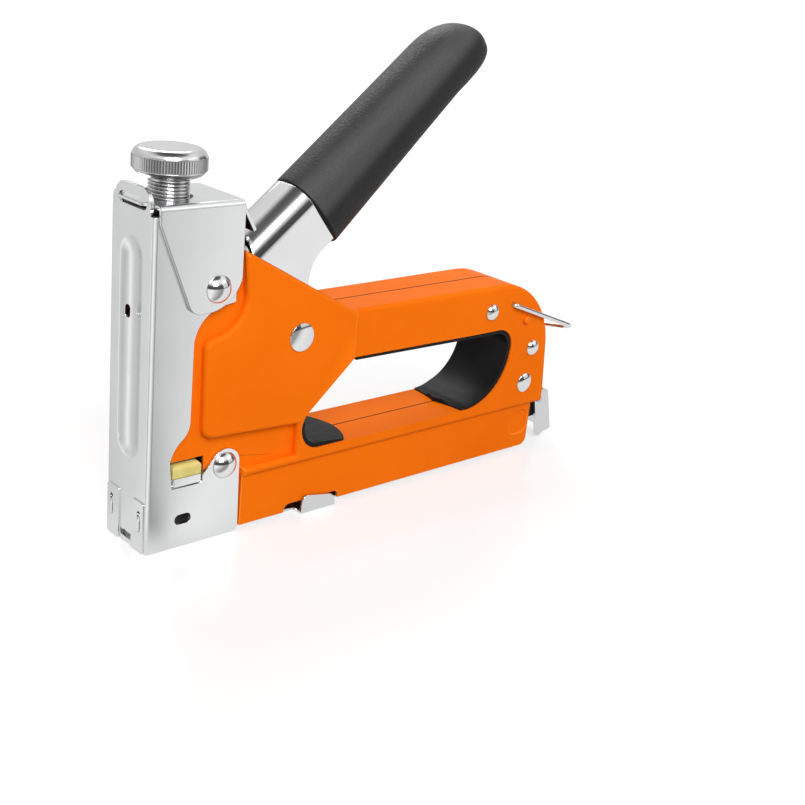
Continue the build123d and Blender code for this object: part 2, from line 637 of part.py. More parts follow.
export_step(staple_channel.part, "parts/staple_channel.step")

# Sliding magazine rail with its two finger tabs
with BuildPart() as magazine_rail:
    with Locations((rail_front, 0, rail_low)):
        Box(block_from - 0.3 - rail_front, 18.0, rail_t, align=(Align.MIN, Align.CENTER, Align.MIN))
    for side in (-1, 1):
        with Locations((rail_front, side * (core_half - 0.5), rail_low + rail_t)):
            Box(block_from - 0.3 - rail_front, 1.0, 14.1, align=(Align.MIN, Align.CENTER, Align.MIN))
    with Locations((8.0, 0, rail_low + rail_t)):
        Box(2.0, 2 * core_half - 1.0, 9.0, align=(Align.MIN, Align.CENTER, Align.MIN))
    with Locations(((wing_from + wing_to) / 2, 0, rail_low)):
        Box(wing_to - wing_from, 2 * (housing_half + 1.7), rail_t,
            align=(Align.CENTER, Align.CENTER, Align.MIN))
    for side in (-1, 1):
        with BuildSketch(Plane.XZ.offset(-side * (housing_half + 0.7))):
            with BuildLine():
                Polyline((wing_from, rail_low), (wing_from + 0.6, 4.6))
                RadiusArc((wing_from + 0.6, 4.6), (wing_from + 2.2, 6.2), 1.8)
                Line((wing_from + 2.2, 6.2), (wing_to - 3.0, 4.6))
                RadiusArc((wing_to - 3.0, 4.6), (wing_to, 1.6), 3.0)
                Polyline((wing_to, 1.6), (wing_to, rail_low), (wing_from, rail_low))
            make_face()
        extrude(amount=-side * 1.0)
    with BuildSketch(Plane.YZ):
        with Locations((0, rod_z)):
            Circle(rod_r)
    extrude(amount=20, mode=Mode.SUBTRACT)
magazine_rail.part.label = "magazine_rail"
export_step(magazine_rail.part, "parts/magazine_rail.step")

with BuildPart() as pusher_rod:
    with BuildSketch(Plane.YZ.offset(8.0)):
        with Locations((0, rod_z)):
            Circle(rod_r)
    extrude(amount=block_from + 1.6 - 8.0)
    fillet(pusher_rod.faces().sort_by(Axis.X)[-1].edges(), 0.7)
pusher_rod.part.label = "pusher_rod"
export_step(pusher_rod.part, "parts/pusher_rod.step")

with BuildPart() as pusher:
    with BuildSketch(Plane.YZ.offset(pusher_x)):
        with Locations((0, 2.0)):
            Rectangle(2 * core_half + 2.7, 14.3, align=(Align.CENTER, Align.MIN))
        for side in (-1, 1):
            with Locations((side * (core_half - 0.5), 1.0)):
                Rectangle(1.0 + 2 * part_gap, 14.55, align=(Align.CENTER, Align.MIN), mode=Mode.SUBTRACT)
        with Locations((0, rod_z)):
            Circle(rod_r + run_gap, mode=Mode.SUBTRACT)
    extrude(amount=pusher_len)
pusher.part.label = "pusher"
export_step(pusher.part, "parts/pusher.step")

# Pusher spring round the rod
push_from = pusher_x + pusher_len + 0.4
push_run = 150.0 - 0.4 - push_from
with BuildPart() as pusher_spring:
    with BuildLine() as push_path:
        Helix(pitch=push_run / push_turns, height=push_run, radius=push_r,
              center=(push_from, 0, rod_z), direction=(1, 0, 0))
    with BuildSketch(Plane(push_path.line @ 0, z_dir=push_path.line % 0)):
        Circle(push_wire / 2)
    sweep(path=push_path.line, is_frenet=True)
print("pusher_spring least gap", round(coil_gap(push_path.line, push_wire, push_turns), 2))
pusher_spring.part.label = "pusher_spring"
export_step(pusher_spring.part, "parts/pusher_spring.step")

# Block at the rail's rear end that carries the latch
with BuildPart() as rail_end:
    with Locations((150.0, 0, rail_low + rail_t)):
        Box(block_from - 150.0, 2 * core_half - 2.0, 10.9, align=(Align.MIN, Align.CENTER, Align.MIN))
    with Locations((block_from, 0, 9.0)):
        Box(block_to - block_from, 2 * block_half, 10.2, align=(Align.MIN, Align.CENTER, Align.MIN))
    fillet(rail_end.faces().sort_by(Axis.X)[-1].edges(), 0.8)
    with BuildSketch(Plane.YZ.offset(140)):
        with Locations((0, rod_z)):
            Circle(rod_r)
    extrude(amount=40, mode=Mode.SUBTRACT)
    with BuildSketch(Plane.YZ.offset(169.0)):
        with Locations((0, 11.8)):
            Circle(2.2)
    extrude(amount=10, mode=Mode.SUBTRACT)
    with BuildSketch(Plane.XZ):
        with Locations((latch_pin_x, latch_pin_z)):
            Circle(1.25)
    extrude(amount=20, both=True, mode=Mode.SUBTRACT)
rail_end.part.label = "rail_end"
export_step(rail_end.part, "parts/rail_end.step")

with BuildPart() as latch:
    with BuildSketch(Plane.XZ):
        with BuildLine():
            Polyline((168.8, 18.4), (175.4, 19.4))
            RadiusArc((175.4, 19.4), (176.4, 18.2), 1.2)
            Polyline((176.4, 18.2), (180.4, 2.8), (178.2, 2.4))
            ThreePointArc((178.2, 2.4), (175.8, 1.9), (174.2, 0.9))
            Polyline((174.2, 0.9), (172.8, 1.2), (168.8, 18.4))
        make_face()
    extrude(amount=latch_half, both=True)
    with BuildSketch(Plane.XZ):
        Polygon((160.0, 30.0), (172.4, 30.0), (175.15, 18.2), (179.15, 2.8), (180.5, -3.0), (160.0, -3.0),
                align=None)
    extrude(amount=latch_half - latch_t, both=True, mode=Mode.SUBTRACT)
    with BuildSketch(Plane.XZ):
        with Locations((latch_pin_x, latch_pin_z)):
            Circle(1.25 + run_gap)
    extrude(amount=20, both=True, mode=Mode.SUBTRACT)
latch.part.label = "latch"
export_step(latch.part, "parts/latch.step")

with BuildPart() as latch_pin:
    with BuildSketch(Plane.XZ):
        with Locations((latch_pin_x, latch_pin_z)):
            Circle(1.25)
    extrude(amount=latch_half + 0.4, both=True)
latch_pin.part.label = "latch_pin"
export_step(latch_pin.part, "parts/latch_pin.step")

with BuildPart() as latch_spring:
    with BuildLine() as latch_path:
        Helix(pitch=latch_rise / latch_turns, height=latch_rise, radius=1.6,
              center=(169.3, 0, 11.8), direction=(1, 0, 0))
    with BuildSketch(Plane(latch_path.line @ 0, z_dir=latch_path.line % 0)):
        Circle(latch_wire / 2)
    sweep(path=latch_path.line, is_frenet=True)
print("latch_spring least gap", round(coil_gap(latch_path.line, latch_wire, latch_turns), 2))
latch_spring.part.label = "latch_spring"
export_step(latch_spring.part, "parts/latch_spring.step")

# Rivets: short ones on the cover, through ones on the nose and the rear
with BuildPart() as cover_rivets:
    with BuildSketch(Plane.XZ.offset(flange_half - shell_t)):
        with Locations(cover_rivet[:2]):
            Circle(rivet_r)
    extrude(amount=cover_half - flange_half + shell_t)
    domed_head(*cover_rivet, cover_half)
    mirror(about=Plane.XZ)
cover_rivets.part.label = "cover_rivets"
export_step(cover_rivets.part, "parts/cover_rivets.step")

with BuildPart() as nose_rivet_pin:
    with BuildSketch(Plane.XZ):
        with Locations(nose_rivet[:2]):
            Circle(rivet_r)
    extrude(amount=nose_half)
    domed_head(*nose_rivet, nose_half)
    mirror(about=Plane.XZ)
nose_rivet_pin.part.label = "nose_rivet"
export_step(nose_rivet_pin.part, "parts/nose_rivet.step")

with BuildPart() as rear_rivet_pins:
    for rear_rivet in rear_rivets:
        with BuildSketch(Plane.XZ):
            with Locations(rear_rivet[:2]):
                Circle(rivet_r)
        extrude(amount=panel_half)
        domed_head(*rear_rivet, panel_half)
    mirror(about=Plane.XZ)
rear_rivet_pins.part.label = "rear_rivets"
export_step(rear_rivet_pins.part, "parts/rear_rivets.step")

with BuildPart() as tail_rivet_pin:
    with BuildSketch(Plane.XZ):
        with Locations(tail_rivet[:2]):
            Circle(rivet_r)
    extrude(amount=panel_half)
    domed_head(*tail_rivet, panel_half)
    mirror(about=Plane.XZ)
tail_rivet_pin.part.label = "tail_rivet"
export_step(tail_rivet_pin.part, "parts/tail_rivet.step")
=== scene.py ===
# %% [markdown]
# # A hand tacker, dressed for its picture
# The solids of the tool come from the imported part: metres, nose at x = 0, rear along +X, up along +Z.
# Everything below either gives such a solid its finish or stands a finer mesh in its place.

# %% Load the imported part
import json
from math import cos, pi, radians, sin

import bmesh
import bpy
from mathutils import Matrix, Vector

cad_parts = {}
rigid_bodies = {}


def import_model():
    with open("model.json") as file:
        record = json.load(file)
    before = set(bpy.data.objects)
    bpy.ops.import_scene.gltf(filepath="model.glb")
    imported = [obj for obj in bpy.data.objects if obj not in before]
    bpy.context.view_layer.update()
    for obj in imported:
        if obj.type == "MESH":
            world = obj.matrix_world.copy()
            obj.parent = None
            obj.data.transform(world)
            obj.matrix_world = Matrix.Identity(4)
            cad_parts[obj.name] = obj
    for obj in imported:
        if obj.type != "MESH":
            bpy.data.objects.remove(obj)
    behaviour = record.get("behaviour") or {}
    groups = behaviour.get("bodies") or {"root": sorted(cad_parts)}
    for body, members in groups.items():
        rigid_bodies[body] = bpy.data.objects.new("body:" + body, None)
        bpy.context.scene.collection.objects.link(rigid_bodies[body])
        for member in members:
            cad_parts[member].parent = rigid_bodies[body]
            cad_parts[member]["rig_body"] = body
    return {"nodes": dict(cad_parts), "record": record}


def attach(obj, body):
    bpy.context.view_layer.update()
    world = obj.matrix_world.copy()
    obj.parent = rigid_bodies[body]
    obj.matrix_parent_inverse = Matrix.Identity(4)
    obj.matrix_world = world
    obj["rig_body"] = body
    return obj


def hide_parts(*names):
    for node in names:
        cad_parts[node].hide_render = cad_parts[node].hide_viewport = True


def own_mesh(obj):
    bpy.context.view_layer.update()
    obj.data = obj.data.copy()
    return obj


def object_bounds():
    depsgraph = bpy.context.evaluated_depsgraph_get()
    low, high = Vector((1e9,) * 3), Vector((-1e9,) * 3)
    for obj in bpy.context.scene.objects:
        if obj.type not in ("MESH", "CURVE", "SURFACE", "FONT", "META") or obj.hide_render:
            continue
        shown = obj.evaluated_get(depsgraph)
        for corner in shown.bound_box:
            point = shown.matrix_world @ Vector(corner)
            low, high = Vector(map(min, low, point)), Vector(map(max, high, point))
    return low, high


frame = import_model()
cad_low, cad_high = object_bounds()
scene = bpy.context.scene
scene.view_settings.view_transform = "Standard"
MM = 0.001
print("nodes", len(frame["nodes"]), "size in mm", [round(v / MM, 1) for v in cad_high - cad_low])

# %% [markdown]
# ## The camera
# The picture was taken from the front left and a little above, with the camera turned a few degrees.
# Three angles, a place and a focal length put the tool where the picture has it.

# %% Camera
view_turn, view_rise, view_roll = radians(-44.41), radians(20.54), radians(5.71)
camera_place = Vector((-0.1859, -0.3002, 0.1814))
back = Vector((sin(view_turn) * cos(view_rise), -cos(view_turn) * cos(view_rise), sin(view_rise)))
level = Vector((cos(view_turn), sin(view_turn), 0))
upright = back.cross(level)
right = level * cos(view_roll) + upright * sin(view_roll)
top = upright * cos(view_roll) - level * sin(view_roll)
lens = bpy.data.cameras.new("camera")
lens.lens = 58.43
lens.sensor_width = 36
lens.clip_start = 0.01
camera = bpy.data.objects.new("camera", lens)
camera.matrix_world = Matrix.Translation(camera_place) @ Matrix((right, top, back)).transposed().to_4x4()
scene.collection.objects.link(camera)
scene.camera = camera
print("camera", [round(v, 3) for v in camera_place])

# %% [markdown]
# ## Nodes in short
# Materials and geometry trees are both made of nodes. One small function adds a node, sets what is given
# by name and links whatever is a socket, so that each tree below reads as a list of steps.

# %% Node helper
def put(tree, kind, inputs=None, **settings):
    """Adds a node; inputs are values or sockets by label or place, settings are the node's own options."""
    node = tree.nodes.new(kind)
    for key, value in settings.items():
        setattr(node, key, value)
    for key, value in (inputs or {}).items():
        if isinstance(value, bpy.types.NodeSocket):
            tree.links.new(value, node.inputs[key])
        else:
            node.inputs[key].default_value = value
    return node


def ramp(tree, factor, stops):
    """A colour ramp from a list of (place, colour)."""
    node = put(tree, "ShaderNodeValToRGB", {"Fac": factor})
    band = node.color_ramp
    band.elements.remove(band.elements[1])
    for number, (place, colour) in enumerate(stops):
        element = band.elements.new(place) if number else band.elements[0]
        element.position = place
        element.color = (*colour, 1)
    return node.outputs["Color"]


def grey(value):
    """A grey colour."""
    return (value, value, value)


def grey_ramp(tree, factor, stops):
    """A ramp of greys from a list of (place, value)."""
    return ramp(tree, factor, [(place, grey(value)) for place, value in stops])


def maths(tree, operation, *values):
    """A number worked out from values or sockets."""
    return put(tree, "ShaderNodeMath", dict(enumerate(values)), operation=operation).outputs[0]


def vector_maths(tree, operation, *values):
    """A vector worked out from others, or the number that a length or a dot product gives."""
    node = put(tree, "ShaderNodeVectorMath", dict(enumerate(values)), operation=operation)
    return node.outputs["Value" if operation in ("LENGTH", "DOT_PRODUCT") else "Vector"]


def ease(tree, value, low, high, start=0.0, end=1.0, curve="LINEAR"):
    """Start where the value is below low, end where it is above high, and a run between them."""
    sockets = {"Value": value, "From Min": low, "From Max": high, "To Min": start, "To Max": end}
    return put(tree, "ShaderNodeMapRange", sockets, interpolation_type=curve).outputs[0]


def mix_colour(tree, factor, first, second):
    """The first colour where the factor is 0, the second where it is 1."""
    return put(tree, "ShaderNodeMix", {0: factor, 6: first, 7: second}, data_type="RGBA").outputs[2]


print("node helpers ready")


# %% [markdown]
# ## Studio
# Plating has no colour of its own and only shows the room, so mirror rays see what a studio has round
# such a tool: a dim strip at eye level in front, a dim ceiling and bright walls between. The camera sees
# plain white behind the tool, and everything else is lit by an even pale sky.

# %% World
daylight = 0.42
world = bpy.data.worlds.new("studio")
scene.world = world
world.use_nodes = True
tree = world.node_tree
tree.nodes.clear()
path = put(tree, "ShaderNodeLightPath").outputs
sky = put(tree, "ShaderNodeTexCoord").outputs["Generated"]
heading = put(tree, "ShaderNodeSeparateXYZ", {0: sky}).outputs
rise = maths(tree, "MULTIPLY_ADD", heading["Z"], 0.5, 0.5)
behind = ease(tree, heading["Y"], -0.2, 0.2)
front_wall = grey_ramp(tree, rise, [(0.48, 0.6), (0.50, 0.07), (0.67, 0.10), (0.77, 0.95), (0.90, 1.15),
                                    (0.94, 0.20), (1.0, 0.06)])
back_wall = grey_ramp(tree, rise, [(0.48, 0.72), (0.70, 0.76), (0.87, 0.95), (0.93, 0.7), (0.97, 0.12),
                                   (1.0, 0.06)])
room = mix_colour(tree, behind, front_wall, back_wall)
mirror_ray = maths(tree, "MAXIMUM", path["Is Glossy Ray"], path["Is Transmission Ray"])
light = put(tree, "ShaderNodeBackground", {"Color": (*grey(1.0), 1), "Strength": daylight}).outputs[0]
shine = put(tree, "ShaderNodeBackground", {"Color": room, "Strength": 1.0}).outputs[0]
white = put(tree, "ShaderNodeBackground", {"Color": (*grey(1.0), 1), "Strength": 1.0}).outputs[0]
lit = put(tree, "ShaderNodeMixShader", {0: mirror_ray, 1: light, 2: shine}).outputs[0]
seen = put(tree, "ShaderNodeMixShader", {0: path["Is Camera Ray"], 1: lit, 2: white}).outputs[0]
put(tree, "ShaderNodeOutputWorld", {"Surface": seen})
print("world", len(tree.nodes), "nodes")

# %% [markdown]
# ## Table
# To the eye the table is plain white and catches a soft shadow. Mirror rays see pale and dim cards laid
# out round the nose instead, one after another by direction, and an even grey close to the foot.

# %% Table
reach, under_foot = 4.0, 0.2 * MM
table_mesh = bpy.data.meshes.new("table")
corners = [(-reach, -reach, 0), (reach, -reach, 0), (reach, reach, 0), (-reach, reach, 0)]
table_mesh.from_pydata(corners, [], [(0, 1, 2, 3)])
table_mesh.transform(Matrix.Translation((0, 0, cad_low.z - under_foot)))
table = bpy.data.objects.new("table", table_mesh)
scene.collection.objects.link(table)
table_paint = bpy.data.materials.new("white_table")
table_paint.use_nodes = True
tree = table_paint.node_tree
tree.nodes.clear()
path = put(tree, "ShaderNodeLightPath").outputs
spot = put(tree, "ShaderNodeTexCoord").outputs["Object"]
away = vector_maths(tree, "LENGTH", spot)
own_light = maths(tree, "MULTIPLY", path["Is Camera Ray"], ease(tree, away, 0.2, 0.8, 0.64, 0.88))
matt = put(tree, "ShaderNodeBsdfDiffuse", {"Color": (*grey(0.33), 1)}).outputs[0]
glow = put(tree, "ShaderNodeEmission", {"Color": (*grey(1.0), 1), "Strength": own_light}).outputs[0]
polish = put(tree, "ShaderNodeBsdfGlossy", {"Color": (*grey(0.07), 1), "Roughness": 0.2}).outputs[0]
glowing = put(tree, "ShaderNodeAddShader", {0: matt, 1: glow}).outputs[0]
polished = put(tree, "ShaderNodeAddShader", {0: glowing, 1: polish}).outputs[0]

round_nose = put(tree, "ShaderNodeTexGradient", {"Vector": spot}, gradient_type="RADIAL").outputs["Fac"]
cards = grey_ramp(tree, round_nose, [
    (0.0, 0.80), (0.02, 0.9), (0.05, 1.1), (0.125, 1.2), (0.20, 0.80), (0.28, 0.42), (0.322, 0.42),
    (0.347, 0.92), (0.37, 1.10), (0.44, 0.98), (0.80, 0.70), (0.86, 0.90), (0.895, 1.2), (0.925, 0.9),
    (0.955, 0.55), (0.98, 0.55), (1.0, 0.80)])
at_foot = ease(tree, away, 0.012, 0.035, 1.0, 0.0, "SMOOTHSTEP")
laid_out = mix_colour(tree, at_foot, cards, (*grey(0.92), 1))
mirrored = put(tree, "ShaderNodeEmission", {"Color": laid_out, "Strength": 1.0}).outputs[0]
top_coat = put(tree, "ShaderNodeMixShader", {0: path["Is Glossy Ray"], 1: polished, 2: mirrored}).outputs[0]
put(tree, "ShaderNodeOutputMaterial", {"Surface": top_coat})
table_mesh.materials.append(table_paint)
print("table", len(tree.nodes), "nodes")

# %% [markdown]
# ## Lamps
# A large key from the front left shapes the tool, a weak fill opens the far end, and a back lamp draws
# the upper edges. Large lamps close by give soft shadows.

# %% Lamps
def soft_lamp(name, place, aim, size, power):
    """A square lamp that faces aim."""
    data = bpy.data.lights.new(name, "AREA")
    data.shape = "SQUARE"
    data.size = size
    data.energy = power
    lamp = bpy.data.objects.new(name, data)
    lamp.location = place
    lamp.rotation_euler = (Vector(aim) - Vector(place)).to_track_quat("-Z", "Y").to_euler()
    scene.collection.objects.link(lamp)


middle = (cad_low + cad_high) / 2
soft_lamp("key", (-0.32, -0.80, 0.75), middle, 0.6, 9.1)
soft_lamp("fill", (0.75, -0.65, 0.45), middle, 0.7, 1.2)
soft_lamp("back", (0.35, 0.75, 0.85), middle, 0.6, 5.0)
print("lamps aimed at", [round(v, 3) for v in middle])

# %% [markdown]
# ## Finishes
# Each finish is a Principled shader with small faults at their real scale: the dimples of sprayed paint,
# the grain of brushed plating, the pores of rubber. Patterns sit on Object coordinates, in metres.

# %% Finish helper
def new_finish(name, **sockets):
    """A material with its tree, its Principled shader and the place on the object."""
    material = bpy.data.materials.new(name)
    material.use_nodes = True
    tree = material.node_tree
    tree.nodes.clear()
    shader = put(tree, "ShaderNodeBsdfPrincipled", sockets)
    put(tree, "ShaderNodeOutputMaterial", {"Surface": shader.outputs[0]})
    spot = put(tree, "ShaderNodeTexCoord").outputs["Object"]
    return material, tree, shader, spot


def noise(tree, spot, scale, detail=2.0, stretch=(1, 1, 1)):
    """Noise with features about 1 / scale metres wide, stretched along an axis where that is below 1."""
    scaled = put(tree, "ShaderNodeMapping", {"Vector": spot, "Scale": stretch}).outputs[0]
    pattern = put(tree, "ShaderNodeTexNoise", {"Vector": scaled, "Scale": scale, "Detail": detail})
    return pattern.outputs["Fac"]


def span(tree, factor, low, high):
    """A noise spread from low to high."""
    return ease(tree, factor, 0.3, 0.7, low, high)


def rough_skin(tree, shader, height, depth, strength):
    """Bump of that depth in metres."""
    bump = put(tree, "ShaderNodeBump", {"Height": height, "Distance": depth, "Strength": strength})
    tree.links.new(bump.outputs[0], shader.inputs["Normal"])


print("finish helpers ready")

# %% [markdown]
# ## Paint
# The shells are sprayed after pressing. A dark line is painted along the seam between them, and the inside
# of the upper part is painted near black: both are painted shade.

# %% Paint
# Painted shade: a dark line in the seam of the shells, and a near-black inside of the upper part.
seam_shade_narrow, seam_shade_wide = 0.15 * MM, 0.4 * MM
inner_half, inside_shade_from = 9.2 * MM, 75 * MM
inside_painted_shade = (0.03, 0.02, 0.018, 1)


def sprayed_paint(name, pale, deep):
    """Stoving paint with faint orange peel, with painted shade along the seam of the shells and on their
    inside.
    """
    material, tree, shader, spot = new_finish(name, **{"Specular IOR Level": 0.02})
    place = put(tree, "ShaderNodeSeparateXYZ", {0: spot}).outputs
    off_seam = maths(tree, "ABSOLUTE", place["Y"])
    outer = maths(tree, "GREATER_THAN", off_seam, inner_half)
    below = maths(tree, "LESS_THAN", place["Z"], inside_shade_from)
    clear_of_inside_shade = maths(tree, "MAXIMUM", outer, below)
    # 1 where the paint keeps its colour, 0 where the seam line and the inside get painted shade.
    coated = maths(tree, "MULTIPLY", ease(tree, off_seam, seam_shade_narrow, seam_shade_wide), clear_of_inside_shade)
    shade = ramp(tree, noise(tree, spot, 35, 3), [(0.3, deep), (0.7, pale)])
    tree.links.new(mix_colour(tree, coated, inside_painted_shade, shade), shader.inputs["Base Color"])
    tree.links.new(span(tree, noise(tree, spot, 160, 3), 0.30, 0.40), shader.inputs["Roughness"])
    rough_skin(tree, shader, noise(tree, spot, 1100, 2), 0.00004, 0.35)
    return material


orange_paint = sprayed_paint("orange_paint", (0.96, 0.182, 0.0045), (0.91, 0.166, 0.003))
# Lighter orange for the rolled edges of the shells: a painted highlight.
painted_edge_highlight = sprayed_paint("painted_edge_highlight", (1.0, 0.27, 0.030), (0.98, 0.25, 0.026))
print(orange_paint.name, "and", painted_edge_highlight.name)

# %% [markdown]
# ## Rubber and plastic
# The grip is dipped rubber with a leather grain, the lining of the finger hole and the end block are smooth
# black mouldings, and the stop under the hammer is pale yellow. The grip has painted shade on its belly, at
# its cut end and along its crown; it follows the lever's own line, so its slope and its pivot are given
# here.

# %% Rubber and plastic
tilt = radians(38.4)
pivot = Vector((51.4, 0, 59.7)) * MM
along = Vector((cos(tilt), 0, sin(tilt)))
across = Vector((-sin(tilt), 0, cos(tilt)))
sleeve_from, sleeve_to, belly_painted_shade, crown_painted_shade = 27 * MM, 100 * MM, 0.24, 0.45
belly_from, belly_to, belly_soft = 23.5 * MM, 28 * MM, 2.2 * MM


def grained_rubber():
    """Dark grey rubber with a fine leather grain, with painted shade on the belly, at the cut end and along
    the crown.
    """
    material, tree, shader, spot = new_finish("grip_rubber", **{"Specular IOR Level": 0.24})
    arm = vector_maths(tree, "SUBTRACT", spot, tuple(pivot))
    run = vector_maths(tree, "DOT_PRODUCT", arm, tuple(along))
    rise = vector_maths(tree, "DOT_PRODUCT", arm, tuple(across))
    # Painted shade: darker below a line along the grip, near black at the cut end, darker along the crown.
    edge = ease(tree, run, sleeve_from, sleeve_to, belly_from, belly_to)
    above = maths(tree, "SUBTRACT", rise, edge)
    painted_belly = ease(tree, above, -belly_soft, belly_soft, belly_painted_shade, 1.0, "SMOOTHSTEP")
    skin = ease(tree, run, 27.9 * MM, 28.2 * MM, 0.1, 1.0)
    painted_crown = ease(tree, rise, 33.6 * MM, 35.2 * MM, 1.0, crown_painted_shade)
    shade = span(tree, noise(tree, spot, 60, 4), 0.058, 0.068)
    for factor in (painted_belly, skin, painted_crown):
        shade = maths(tree, "MULTIPLY", shade, factor)
    tree.links.new(shade, shader.inputs["Base Color"])
    cells = put(tree, "ShaderNodeTexVoronoi", {"Vector": spot, "Scale": 1700}, feature="SMOOTH_F1")
    wrinkles = noise(tree, spot, 900, 4)
    tree.links.new(span(tree, wrinkles, 0.46, 0.58), shader.inputs["Roughness"])
    rough_skin(tree, shader, maths(tree, "ADD", cells.outputs["Distance"], wrinkles), 0.00016, 0.7)
    return material


def moulded(name, specular, patch, deep, pale, gloss, pebble, depth):
    """A smooth moulding: cloudy colour in patches, a gloss of (scale, low, high) and a fine pebbled skin."""
    material, tree, shader, spot = new_finish(name, **{"Specular IOR Level": specular})
    shade = ramp(tree, noise(tree, spot, patch, 3), [(0.3, deep), (0.7, pale)])
    tree.links.new(shade, shader.inputs["Base Color"])
    scale, low, high = gloss
    tree.links.new(span(tree, noise(tree, spot, scale, 3), low, high), shader.inputs["Roughness"])
    rough_skin(tree, shader, noise(tree, spot, pebble, 2), depth, 0.3)
    return material


grip_rubber = grained_rubber()
guard_black = moulded("guard_black", 0.07, 80, grey(0.010), grey(0.014), (300, 0.36, 0.46), 2500, 0.00003)
bumper_yellow = moulded("bumper_yellow", 0.35, 200, (0.68, 0.58, 0.17), (0.76, 0.66, 0.23),
                        (500, 0.5, 0.62), 1800, 0.00004)
print(grip_rubber.name, guard_black.name, bumper_yellow.name)

# %% [markdown]
# ## Metals
# Plating is a mirror with faint clouds and drawn lines. Two extra functions serve single pieces: one bends
# the light in the pressed groove of the nose, one paints shade between two heights of the knob.

# %% Metals
def plated(name, colour, smooth, dull, stretch, grain_depth=0.000004):
    """Plated or ground steel: a cloudy gloss over fine grain lines."""
    material, tree, shader, spot = new_finish(name, Metallic=1.0)
    lines = noise(tree, spot, 2600, 2, stretch)
    cloud = noise(tree, spot, 70, 3)
    low, high = [tuple(c * k for c in colour) for k in (0.97, 1.02)]
    tree.links.new(ramp(tree, cloud, [(0.3, low), (0.7, high)]), shader.inputs["Base Color"])
    halved = maths(tree, "MULTIPLY", maths(tree, "ADD", lines, cloud), 0.5)
    tree.links.new(span(tree, halved, smooth, dull), shader.inputs["Roughness"])
    rough_skin(tree, shader, lines, grain_depth, 0.1)
    return material


def deepen_groove(material, low, high, half, depth):
    """Bends the light in the pressed groove, from height low to high, as if it were this much deeper."""
    tree = material.node_tree
    spot = put(tree, "ShaderNodeTexCoord").outputs["Object"]
    place = put(tree, "ShaderNodeSeparateXYZ", {0: spot}).outputs
    near = put(tree, "ShaderNodeClamp", {"Value": place["Z"], "Min": low, "Max": high}).outputs[0]
    past = maths(tree, "SUBTRACT", place["Z"], near)
    flat = put(tree, "ShaderNodeCombineXYZ", {"X": place["Y"], "Y": past}).outputs[0]
    dish = ease(tree, vector_maths(tree, "LENGTH", flat), 0.0, half, curve="SMOOTHSTEP")
    bump = put(tree, "ShaderNodeBump", {"Height": dish, "Distance": depth, "Strength": 1.0}).outputs[0]
    grain = next(node for node in tree.nodes if node.type == "BUMP" and node.outputs[0].is_linked)
    tree.links.new(bump, grain.inputs["Normal"])


def painted_shade_band(material, low, high, shade):
    """Painted shade between two heights: the base colour turns to this grey there."""
    tree = material.node_tree
    shader = next(node for node in tree.nodes if node.type == "BSDF_PRINCIPLED")
    spot = put(tree, "ShaderNodeTexCoord").outputs["Object"]
    height = put(tree, "ShaderNodeSeparateXYZ", {0: spot}).outputs["Z"]
    over = maths(tree, "GREATER_THAN", height, low)
    within = maths(tree, "MULTIPLY", over, maths(tree, "LESS_THAN", height, high))
    unshaded_colour = shader.inputs["Base Color"].links[0].from_socket
    colour = mix_colour(tree, within, unshaded_colour, (*grey(shade), 1))
    tree.links.new(colour, shader.inputs["Base Color"])


print("metal helpers ready")

# %% [markdown]
# ## All finishes
# The record gives every solid a slot, and the slot picks the finish. A few pieces get a tone of their own:
# the nose and the magazine with its latch. The rolled edges of the cover are darker than its faces: painted
# shade.

# %% All finishes
along_z, along_x, even = (1, 1, 0.04), (0.04, 1, 1), (1, 1, 1)
finishes = {
    "orange_paint": orange_paint,
    "black_rubber": grip_rubber,
    "black_plastic": guard_black,
    "yellow_bumper": bumper_yellow,
    "satin_chrome": plated("satin_chrome", (0.78, 0.785, 0.79), 0.16, 0.21, along_z),
    "bright_chrome": plated("bright_chrome", (0.71, 0.71, 0.715), 0.09, 0.12, even, 0.000002),
    "satin_metal": plated("turned_steel", (0.66, 0.66, 0.665), 0.16, 0.24, even),
    "plain_steel": plated("ground_steel", (0.50, 0.50, 0.51), 0.28, 0.42, along_x, 0.000005),
    "spring_steel": plated("oiled_spring_steel", (0.30, 0.30, 0.32), 0.22, 0.34, even, 0.000003),
}
nose_chrome = plated("nose_chrome", (0.74, 0.745, 0.75), 0.16, 0.21, along_z)
rail_chrome = plated("rail_chrome", (0.65, 0.655, 0.66), 0.16, 0.21, along_x)
# Dark grey for the rolled edges of the cover: painted shade.
painted_edge_shade = plated("painted_edge_shade", (0.34, 0.34, 0.345), 0.2, 0.3, even)
groove_low, groove_high, groove_half, groove_more = 33 * MM, 87 * MM, 5.9 * MM, 0.5 * MM
deepen_groove(nose_chrome, groove_low, groove_high, groove_half, groove_more)
slot_of = {row["node"]: row["material_slot"] for row in frame["record"]["subparts"]}
own_tone = {"nose_plate": nose_chrome, "magazine_rail": rail_chrome, "latch": rail_chrome}
finish_of = {node: own_tone.get(node, finishes[slot]) for node, slot in slot_of.items()}
for name, node in frame["nodes"].items():
    node.data.materials.clear()
    node.data.materials.append(finish_of[name])
print("finishes", sorted(finishes))

# %% [markdown]
# ## Rolled edges
# No stamped or moulded edge is a knife edge, and it is the thin light along an edge that shows a shape.
# The solid is copied, its triangles are merged into whole faces, and a bevel rolls every sharp edge.
# Weighted normals keep the flat faces flat beside the bevel.

# %% Copies of solids
merge_gap = 0.002 * MM


def solid_copy(node, flat=radians(0.8)):
    """The node's mesh, merged, with faces in one plane joined."""
    shape = bmesh.new()
    shape.from_mesh(frame["nodes"][node].data)
    bmesh.ops.remove_doubles(shape, verts=shape.verts, dist=merge_gap)
    bmesh.ops.dissolve_limit(shape, angle_limit=flat, verts=shape.verts, edges=shape.edges)
    return shape


